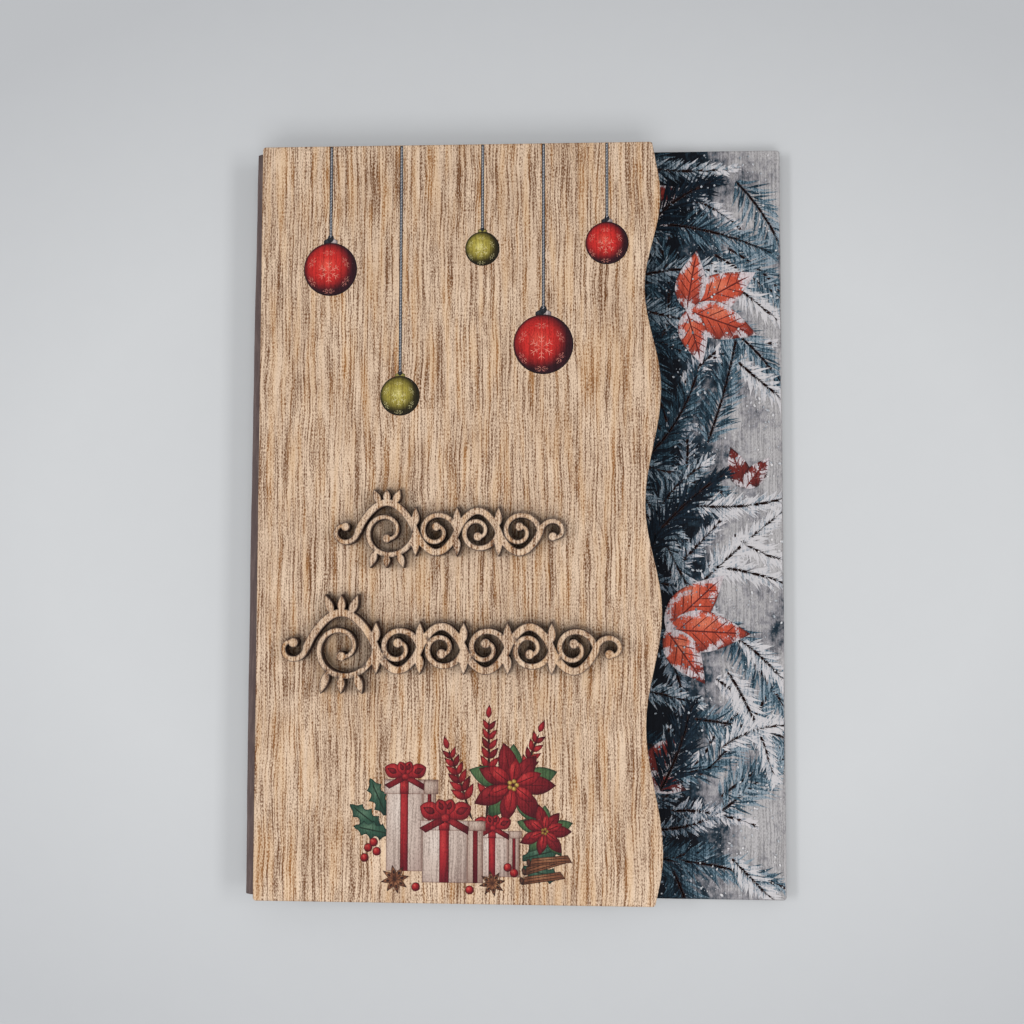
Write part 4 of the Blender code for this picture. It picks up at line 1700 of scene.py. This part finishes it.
@dataclass
class WinterPrint:
    """The print on the back board: needled twigs in four depths, rust-red leaves and snow.

    A spray of leaves has its tone, its foot, and the angle and length in millimetres of each leaf.
    """

    book: Book
    grain: Grain
    ink: Material
    daylight: Daylight
    rim: float = 0.25 * MM
    snow_rim: float = 0.8 * MM
    spacing: float = 0.42 * MM
    layer_depth: float = 0.02 * MM
    thickness: float = 0.005 * MM
    clearing: float = 9 * MM
    leaf_spacing: float = 0.6 * MM
    leaf_frost: float = 3.4 * MM
    vein_width: Point = mm(0.35, 0.22)
    vein_angle: float = 0.75
    twig_steps: int = 8
    headings: tuple[float, ...] = (0.45, -0.55, 0.95, -0.9, 0.0)
    leaf_sprays: tuple[tuple[Tone, Point, tuple[Point, ...]], ...] = (
        (Tone.RUST_DEEP, mm(86, 158), ((0.3, 11), (-0.7, 9))),
        (Tone.RUST_DEEP, mm(110, 92), ((1.9, 10), (0.9, 9))),
        (Tone.RUST_DEEP, mm(87, 27), ((0.9, 12), (-0.3, 10))),
        (Tone.RUST_DEEP, mm(46, 140), ((0.2, 13), (1.4, 12))),
        (Tone.RUST, mm(97, 133), ((0.5, 18), (-0.35, 17), (1.4, 14), (-1.3, 13))),
        (Tone.RUST, mm(92, 60), ((0.75, 18), (-0.05, 19), (-0.95, 15))),
        (Tone.RUST, mm(30, 96), ((0.9, 21), (0.1, 18), (-0.9, 16))),
        (Tone.RUST, mm(60, 30), ((2.2, 18), (1.2, 19), (3.2, 15))),
    )
    far_layers: tuple[FrondLayer, ...] = (
        FrondLayer(
            "frost_tufts",
            inks((0.22, 14, 21, 30), (0.5, 66, 84, 97), (0.8, 146, 149, 157), (1.0, 194, 190, 192)),
            count=96, length=mm(12, 22), needle=mm(3.4, 0.66), spread=1.0, seed=3, light_share=0.8,
        ),
        FrondLayer(
            "teal_needles",
            inks((0.2, 12, 18, 27), (0.55, 32, 52, 64), (0.85, 82, 106, 120), (1.0, 140, 152, 162)),
            count=64, length=mm(22, 34), needle=mm(6.6, 0.6), spread=0.9, seed=17, light_share=0.5,
        ),
        FrondLayer(
            "frosted_needles",
            inks((0.26, 20, 31, 41), (0.55, 100, 118, 130), (0.8, 166, 168, 174), (1.0, 196, 193, 195)),
            count=60, length=mm(16, 28), needle=mm(4.8, 0.64), spread=0.85, seed=29, light_share=0.78,
        ),
    )
    near_layer: FrondLayer = FrondLayer(
        "dark_needles", inks((0.2, 10, 14, 21), (0.8, 22, 36, 48), (1.0, 56, 76, 88)),
        count=30, length=mm(18, 30), needle=mm(7.6, 0.6), spread=0.8, seed=41, light_share=0.25,
    )
    snow_stops: Stops = inks((0.2, 74, 88, 100), (0.55, 168, 172, 178), (0.9, 214, 210, 210))

    def build(self) -> None:
        """Make the layers from the board upwards."""
        height = self.book.back.high.z
        for layer in self.far_layers:
            self._fronds(layer, height)
            height += self.layer_depth + self.thickness
        height = self._leaves(height) + self.thickness
        self._fronds(self.near_layer, height)
        self._snow(height + self.layer_depth + self.thickness)

    def _fronds(self, layer: FrondLayer, height: float) -> None:
        """Grow one layer's twigs, mostly from left to right.

        Args:
            layer: What the layer is made of.
            height: The level that it starts on.
        """
        dice = random.Random(layer.seed)
        low, high = self.book.back
        lines = []
        for number in range(layer.count):
            x = low.x + (high.x - low.x) * dice.uniform(-0.06, 0.92)
            y = low.y + (high.y - low.y) * (number + dice.random()) / layer.count
            heading = dice.choice(self.headings) + dice.uniform(-0.3, 0.3)
            line = self._twig((x, y), heading, dice.uniform(*layer.length), dice.uniform(-0.8, 0.8), height)
            if layer is not self.near_layer or not self._crosses_leaves(line):
                lines.append(line)
        finish = NeedleInk(f"{layer.name}_ink", layer.stops, 0.2, 0.52, layer.light_share)
        recipe = FrondRecipe(f"{layer.name}_recipe", finish.make(self.grain, self.daylight))
        values = {
            "Spacing": self.spacing, "Length": layer.needle[0], "Width": layer.needle[1],
            "Thickness": self.thickness, "Spread": layer.spread, "Depth": self.layer_depth,
            "Seed": layer.seed,
            "Low corner": (self.book.strip.high.x + self.rim, low.y + self.rim, 0.0),
            "High corner": (high.x - self.rim, high.y - self.rim, 1.0),
        }
        fronds = recipe.run(layer.name, line_mesh(f"{layer.name}_twigs", lines), values)
        settle(fronds, "back")

    def _crosses_leaves(self, line: Sequence[Place]) -> bool:
        """Return whether a twig passes close over a spray of bright leaves."""
        for tone, place, leaves in self.leaf_sprays:
            if tone is Tone.RUST:
                angle, length = leaves[0]
                middle = turned((length * 0.45 * MM, 0), angle, self.book.at(*place))
                if any(math.dist(point[:2], middle) < self.clearing for point in line):
                    return True
        return False

    def _twig(self, foot: Point, heading: float, length: float, bend: float, height: float) -> list[Place]:
        """Return the points of one curved twig.

        Args:
            foot: Where it starts.
            heading: The way that it sets out.
            length: Its length.
            bend: How far it turns on its way.
            height: The level that it lies on.

        Returns:
            Its points in order.
        """
        x, y = foot
        line = [(x, y, height)]
        for step in range(self.twig_steps):
            x, y = turned((length / self.twig_steps, 0), heading + bend * step / self.twig_steps, (x, y))
            line.append((x, y, height))
        return line

    def _leaves(self, height: float) -> float:
        """Lay the rust-red leaves in loose sprays, the shaded ones first, and return their height."""
        sheet = InkSheet("rust_leaves", height)
        for tone, place, leaves in self.leaf_sprays:
            for angle, length in leaves:
                self._leaf(sheet, tone, self.book.at(*place), angle, length * MM)
        settle(sheet.build(self.ink), "back")
        return sheet.top

    def _leaf(self, sheet: InkSheet, tone: Tone, foot: Point, angle: float, length: float) -> None:
        """Lay one leaf with its veins.

        Args:
            sheet: The print.
            tone: The leaf's wash.
            foot, angle, length: Its place, its way and its size.
        """
        middle, side_vein = self.vein_width
        leaf = blade(foot, angle, length, length * 0.5, ovate, 20)
        sheet.add(leaf, tone, self.leaf_spacing, self.leaf_frost)
        veins = [blade(foot, angle, length * 0.92, middle, straight, 8)]
        for step in range(1, 6):
            share = step / 7
            root = turned((length * share, 0), angle, foot)
            reach = length * 0.3 * ovate(share + 0.08)
            for side in (1, -1):
                veins.append(blade(root, angle + side * self.vein_angle, reach, side_vein, straight, 5))
        for vein in veins:
            sheet.add(vein, Tone.RUST_VEIN, self.leaf_spacing)

    def _snow(self, height: float) -> None:
        """Strew the flakes over the whole print.

        Args:
            height: The level that they lie on.
        """
        left, near = self.book.strip.high.x + self.snow_rim, self.book.back.low.y + self.snow_rim
        right, far = self.book.back.high.x - self.snow_rim, self.book.back.high.y - self.snow_rim
        corners = [(left, near, height), (right, near, height), (right, far, height), (left, far, height)]
        mesh = new_mesh("snow_field", corners, faces=[(0, 1, 2, 3)])
        finish = NeedleInk("snow_ink", self.snow_stops, 0.0, 0.4, 0.5).make(self.grain, self.daylight)
        values = {
            "Density": 8.0e5, "Radius": 0.5 * MM, "Thickness": self.thickness, "Depth": self.layer_depth,
            "Seed": 5, "Drift scale": 150.0,
        }
        snow = SnowRecipe("snow_recipe", finish).run("snow_print", mesh, values)
        settle(snow, "back")


@dataclass
class SootAndShadeStain:
    """Laser soot and painted shade on the cover round one openwork, the painted shade darkest in its closed
    hollows.
    """

    book: Book
    node: str
    material: Material
    reach: float = 2.4 * MM
    pitch: float = 0.4 * MM
    height: float = 0.004 * MM
    # the band round the walls is laser soot and painted shade, shifted towards the side where the shade
    # falls
    strength: float = 0.7
    fade: float = 0.75 * MM
    rim_fade: float = 1 * MM
    shade_side_shift: Point = mm(0.25, 0.3)
    # painted shade in the closed hollows, darker where more wall stands close by
    hollow_shade_span: float = 2.4 * MM
    hollow_shade_walls: Point = mm(12, 22)
    hollow_shade_strength: float = 0.86

    def build(self) -> None:
        """Lay a thin plate on the cover whose points carry the depth of the soot and painted shade."""
        low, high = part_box(self.node)
        half = ((high - low) / 2).xy + Vector((self.reach, self.reach))
        middle = (low + high) / 2
        middle.z = self.book.cover.high.z + self.height
        columns, rows = (max(2, round(2 * side / self.pitch)) for side in half)
        shape = bmesh.new()
        place = Matrix.Translation(middle) @ Matrix.Diagonal((*half, 1, 1))
        bmesh.ops.create_grid(shape, x_segments=columns, y_segments=rows, size=1, matrix=place)
        wall = bmesh.ops.extrude_edge_only(shape, edges=[edge for edge in shape.edges if edge.is_boundary])
        foot = [part for part in wall["geom"] if isinstance(part, bmesh.types.BMVert)]
        bmesh.ops.translate(shape, verts=foot, vec=(0, 0, -self.height))
        bmesh.ops.holes_fill(shape, edges=[edge for edge in shape.edges if edge.is_boundary])
        bmesh.ops.recalc_face_normals(shape, faces=shape.faces)
        mesh = bpy.data.meshes.new(f"{self.node}_soot_and_shade")
        shape.to_mesh(mesh)
        shape.free()
        # these soot values carry laser soot and painted shade
        soot = self._soot_and_shade(np.array([tuple(v.co)[:2] for v in mesh.vertices]), middle.xy, half)
        mesh.attributes.new("soot", "FLOAT", "POINT").data.foreach_set("value", soot)
        mesh.materials.append(self.material)
        settle(add_object(f"{self.node}_soot_and_shade", mesh), "cover")

    def _outline(self) -> np.ndarray:
        """Return the middle and the length of each short piece of the openwork's walls."""
        rows = []
        for loop in board_outlines(self.node, 0.005 * MM, 0.02 * MM, 0.6 * MM):
            ends = np.roll(loop, -1, axis=0)
            rows.append(np.column_stack([(loop + ends) / 2, np.linalg.norm(ends - loop, axis=1)]))
        return np.vstack(rows)

    def _soot_and_shade(self, places: np.ndarray, middle: Vector, half: Vector) -> list[float]:
        """Return the depth of the soot and painted shade at each place, fading away from the walls and to
        nothing at the rim.

        Args:
            places: The plate's points.
            middle, half: The plate's middle and half its sides.

        Returns:
            One depth for each place.
        """
        outline = self._outline()
        depths = []
        for place in places:
            gaps = np.linalg.norm(outline[:, :2] - place, axis=1)
            far = np.linalg.norm(outline[:, :2] + self.shade_side_shift - place, axis=1).min()
            margin = (np.array(half) - np.abs(place - np.array(middle))).min()
            walls = outline[gaps < self.hollow_shade_span, 2].sum()
            # painted shade: the hollows darken with the length of wall close by
            hollow_shade = self.hollow_shade_strength * smooth(*self.hollow_shade_walls, walls)
            rim = self.strength * (1 - smooth(0.0, self.fade, far))
            depths.append(max(rim, hollow_shade) * smooth(0.0, self.rim_fade, margin))
        return depths


@dataclass(frozen=True)
class Lamp:
    """A soft lamp that looks at the book."""

    name: str
    place: Place
    size: Point
    power: float

    def hang(self) -> None:
        """Add the lamp to the scene."""
        data = bpy.data.lights.new(self.name, "AREA")
        data.shape = "RECTANGLE"
        data.size, data.size_y = self.size
        data.energy = self.power
        lamp = add_object(self.name, data)
        lamp.location = self.place
        lamp.rotation_mode = "QUATERNION"
        lamp.rotation_quaternion = lamp.location.to_track_quat("Z", "Y")


@dataclass
class Studio:
    """The pale floor, the soft lamps and the camera above."""

    floor_tone: Colour = pigment(202, 204, 206)
    # painted shade: the floor darkens in a ring round the book
    floor_shade_tone: Colour = pigment(184, 186, 189)
    # painted light: the floor brightens far from the book
    floor_light_tone: Colour = pigment(240, 242, 244)
    floor_half: float = 1.5
    floor_squash: Point = (0.85, 1.25)
    floor_shade_span: Point = (0.095, 0.175)
    floor_light_span: Point = (0.25, 1.1)
    fleck_cell: Place = mm(6, 6, 6)
    fleck_share: float = 0.1
    backdrop: Colour = pigment(200, 203, 206)
    lamps: tuple[Lamp, ...] = (
        Lamp("front_lamp", (0.0, -0.6, 0.8), (0.68, 0.4), 3.0),
        Lamp("left_strip", (-0.8, 0.0, 0.8), (0.6, 0.2), 3.7),
        Lamp("right_strip", (0.8, 0.0, 0.8), (0.6, 0.2), 3.5),
    )
    sky_strength: float = 0.49
    sensor_width: float = 36.0
    lens_share: float = 1124 / 1024
    eye: Place = mm(11.19, -11.37, 259.87)
    tilt: Place = (-0.05053, -0.04639, -0.00133)

    def build(self) -> None:
        """Make everything that isn't the object."""
        self._floor()
        self._lamps()
        self._camera()
        bpy.context.scene.view_settings.view_transform = "Standard"

    def _floor(self) -> None:
        """Lay a pale floor just under the back board, with painted shade in a ring round the book and
        painted light further out.
        """
        half = self.floor_half
        corners = [(-half, -half, 0), (half, -half, 0), (half, half, 0), (-half, half, 0)]
        mesh = new_mesh("floor", corners, faces=[(0, 1, 2, 3)])
        palette = Palette("pale_floor", roughness=0.75, specular=0.2)
        spot = palette.place((*self.floor_squash, 0))
        far = palette.node("ShaderNodeVectorMath", {0: spot}, operation="LENGTH").outputs["Value"]
        fleck = palette.cloud(self.fleck_cell, 3.0)
        # painted shade in a ring round the book, then painted light further out
        share = palette.weigh((palette.stretch(far, self.floor_shade_span), 1.0), (fleck, self.fleck_share))
        near = palette.mix(share, self.floor_tone, self.floor_shade_tone)
        palette.paint(palette.mix(palette.stretch(far, self.floor_light_span), near, self.floor_light_tone))
        mesh.materials.append(palette.material)
        add_object("floor", mesh)

    def _lamps(self) -> None:
        """Hang the lamps, and fill from an even sky that shows as a plain backdrop."""
        for lamp in self.lamps:
            lamp.hang()
        world = bpy.data.worlds.new("soft_sky")
        world.use_nodes = True
        bench = NodeBench(world.node_tree)
        sky = world.node_tree.nodes["Background"]
        sky.inputs["Strength"].default_value = self.sky_strength
        sky.inputs["Color"].default_value = (1.0, 1.0, 1.0, 1.0)
        plain = bench.add("ShaderNodeBackground", {"Color": (*self.backdrop, 1.0), "Strength": 1.0})
        rays = bench.node("ShaderNodeLightPath").outputs
        seen = bench.math("MAXIMUM", rays["Is Camera Ray"], rays["Is Glossy Ray"])
        seen = bench.math("MAXIMUM", seen, rays["Is Transmission Ray"])
        mixed = bench.add("ShaderNodeMixShader", {0: seen, 1: sky.outputs[0], 2: plain})
        bench.feed(world.node_tree.nodes["World Output"].inputs["Surface"], mixed)
        bpy.context.scene.world = world

    def _camera(self) -> None:
        """Set the camera where the photograph was taken from."""
        data = bpy.data.cameras.new("camera")
        data.sensor_width = self.sensor_width
        data.lens = data.sensor_width * self.lens_share
        data.clip_start = 0.01
        camera = add_object("camera", data)
        camera.location = self.eye
        camera.rotation_mode = "QUATERNION"
        turn = Vector(self.tilt)
        view = Matrix.Rotation(turn.length, 3, turn.normalized()).transposed()
        camera.rotation_quaternion = view.to_quaternion()
        bpy.context.scene.camera = camera


@dataclass
class MoneyHolder:
    """The whole booklet, dressed board by board."""

    book: Book = field(default_factory=Book)
    grain: Grain = field(default_factory=Grain)
    bright_share: float = 0.62
    scroll_shift: float = 0.021
    scroll_glue: float = 0.02 * MM
    scroll_soot_and_shade: float = 0.95

    def build(self) -> None:
        """Make the boards, the strip and the prints."""
        edge = ScorchedEdge().make()
        raw = RawBoard().make()
        ink = PrintedInk("printed_ink").make(self.grain)
        book = self.book
        bright_x = book.cover.high.x + self.bright_share * (book.back.high.x - book.cover.high.x)
        daylight = Daylight(book.cover.high.x + 1 * MM, bright_x, book.cover.low.x + 20 * MM)
        ground = WinterGround().make(self.grain, daylight)
        Board("back_board", "back_panel", "back", "printed_panel", ground, edge, raw).build()
        drop = book.frame.low.z - book.back.high.z - book.glue_line
        Board("frame_board", "note_frame", "back", "raw_board", raw, edge, raw, drop).build()
        oak = OakFace("oak_face").make(self.grain)
        Board("cover_board", "front_cover", "cover", "oak_face", oak, edge, raw).build()
        for number, node in enumerate(("upper_scrollwork", "lower_scrollwork"), 1):
            face = OakFace(f"oak_{node}", self.scroll_shift * number).make(self.grain)
            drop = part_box(node)[0].z - book.cover.high.z - self.scroll_glue
            scroll = Board(f"{node}_board", node, "cover", "oak_scrollwork", face, edge, raw, drop)
            scroll.soot = self.scroll_soot_and_shade
            scroll.build()
            # a plate of laser soot and painted shade round the scrollwork
            SootAndShadeStain(book, node, oak).build()
        SpineStrip(book, BookCloth().make()).build()
        WinterPrint(book, self.grain, ink, daylight).build()
        HangingBaubles(book, self.grain, ink).build()
        StillLife(book, ink).build()


def main() -> None:
    """Dress the holder, set the studio and report the pieces."""
    logging.basicConfig(level=logging.INFO, format="%(name)s %(message)s")
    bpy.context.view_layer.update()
    MoneyHolder().build()
    Studio().build()


if __name__ == "__main__":
    main()
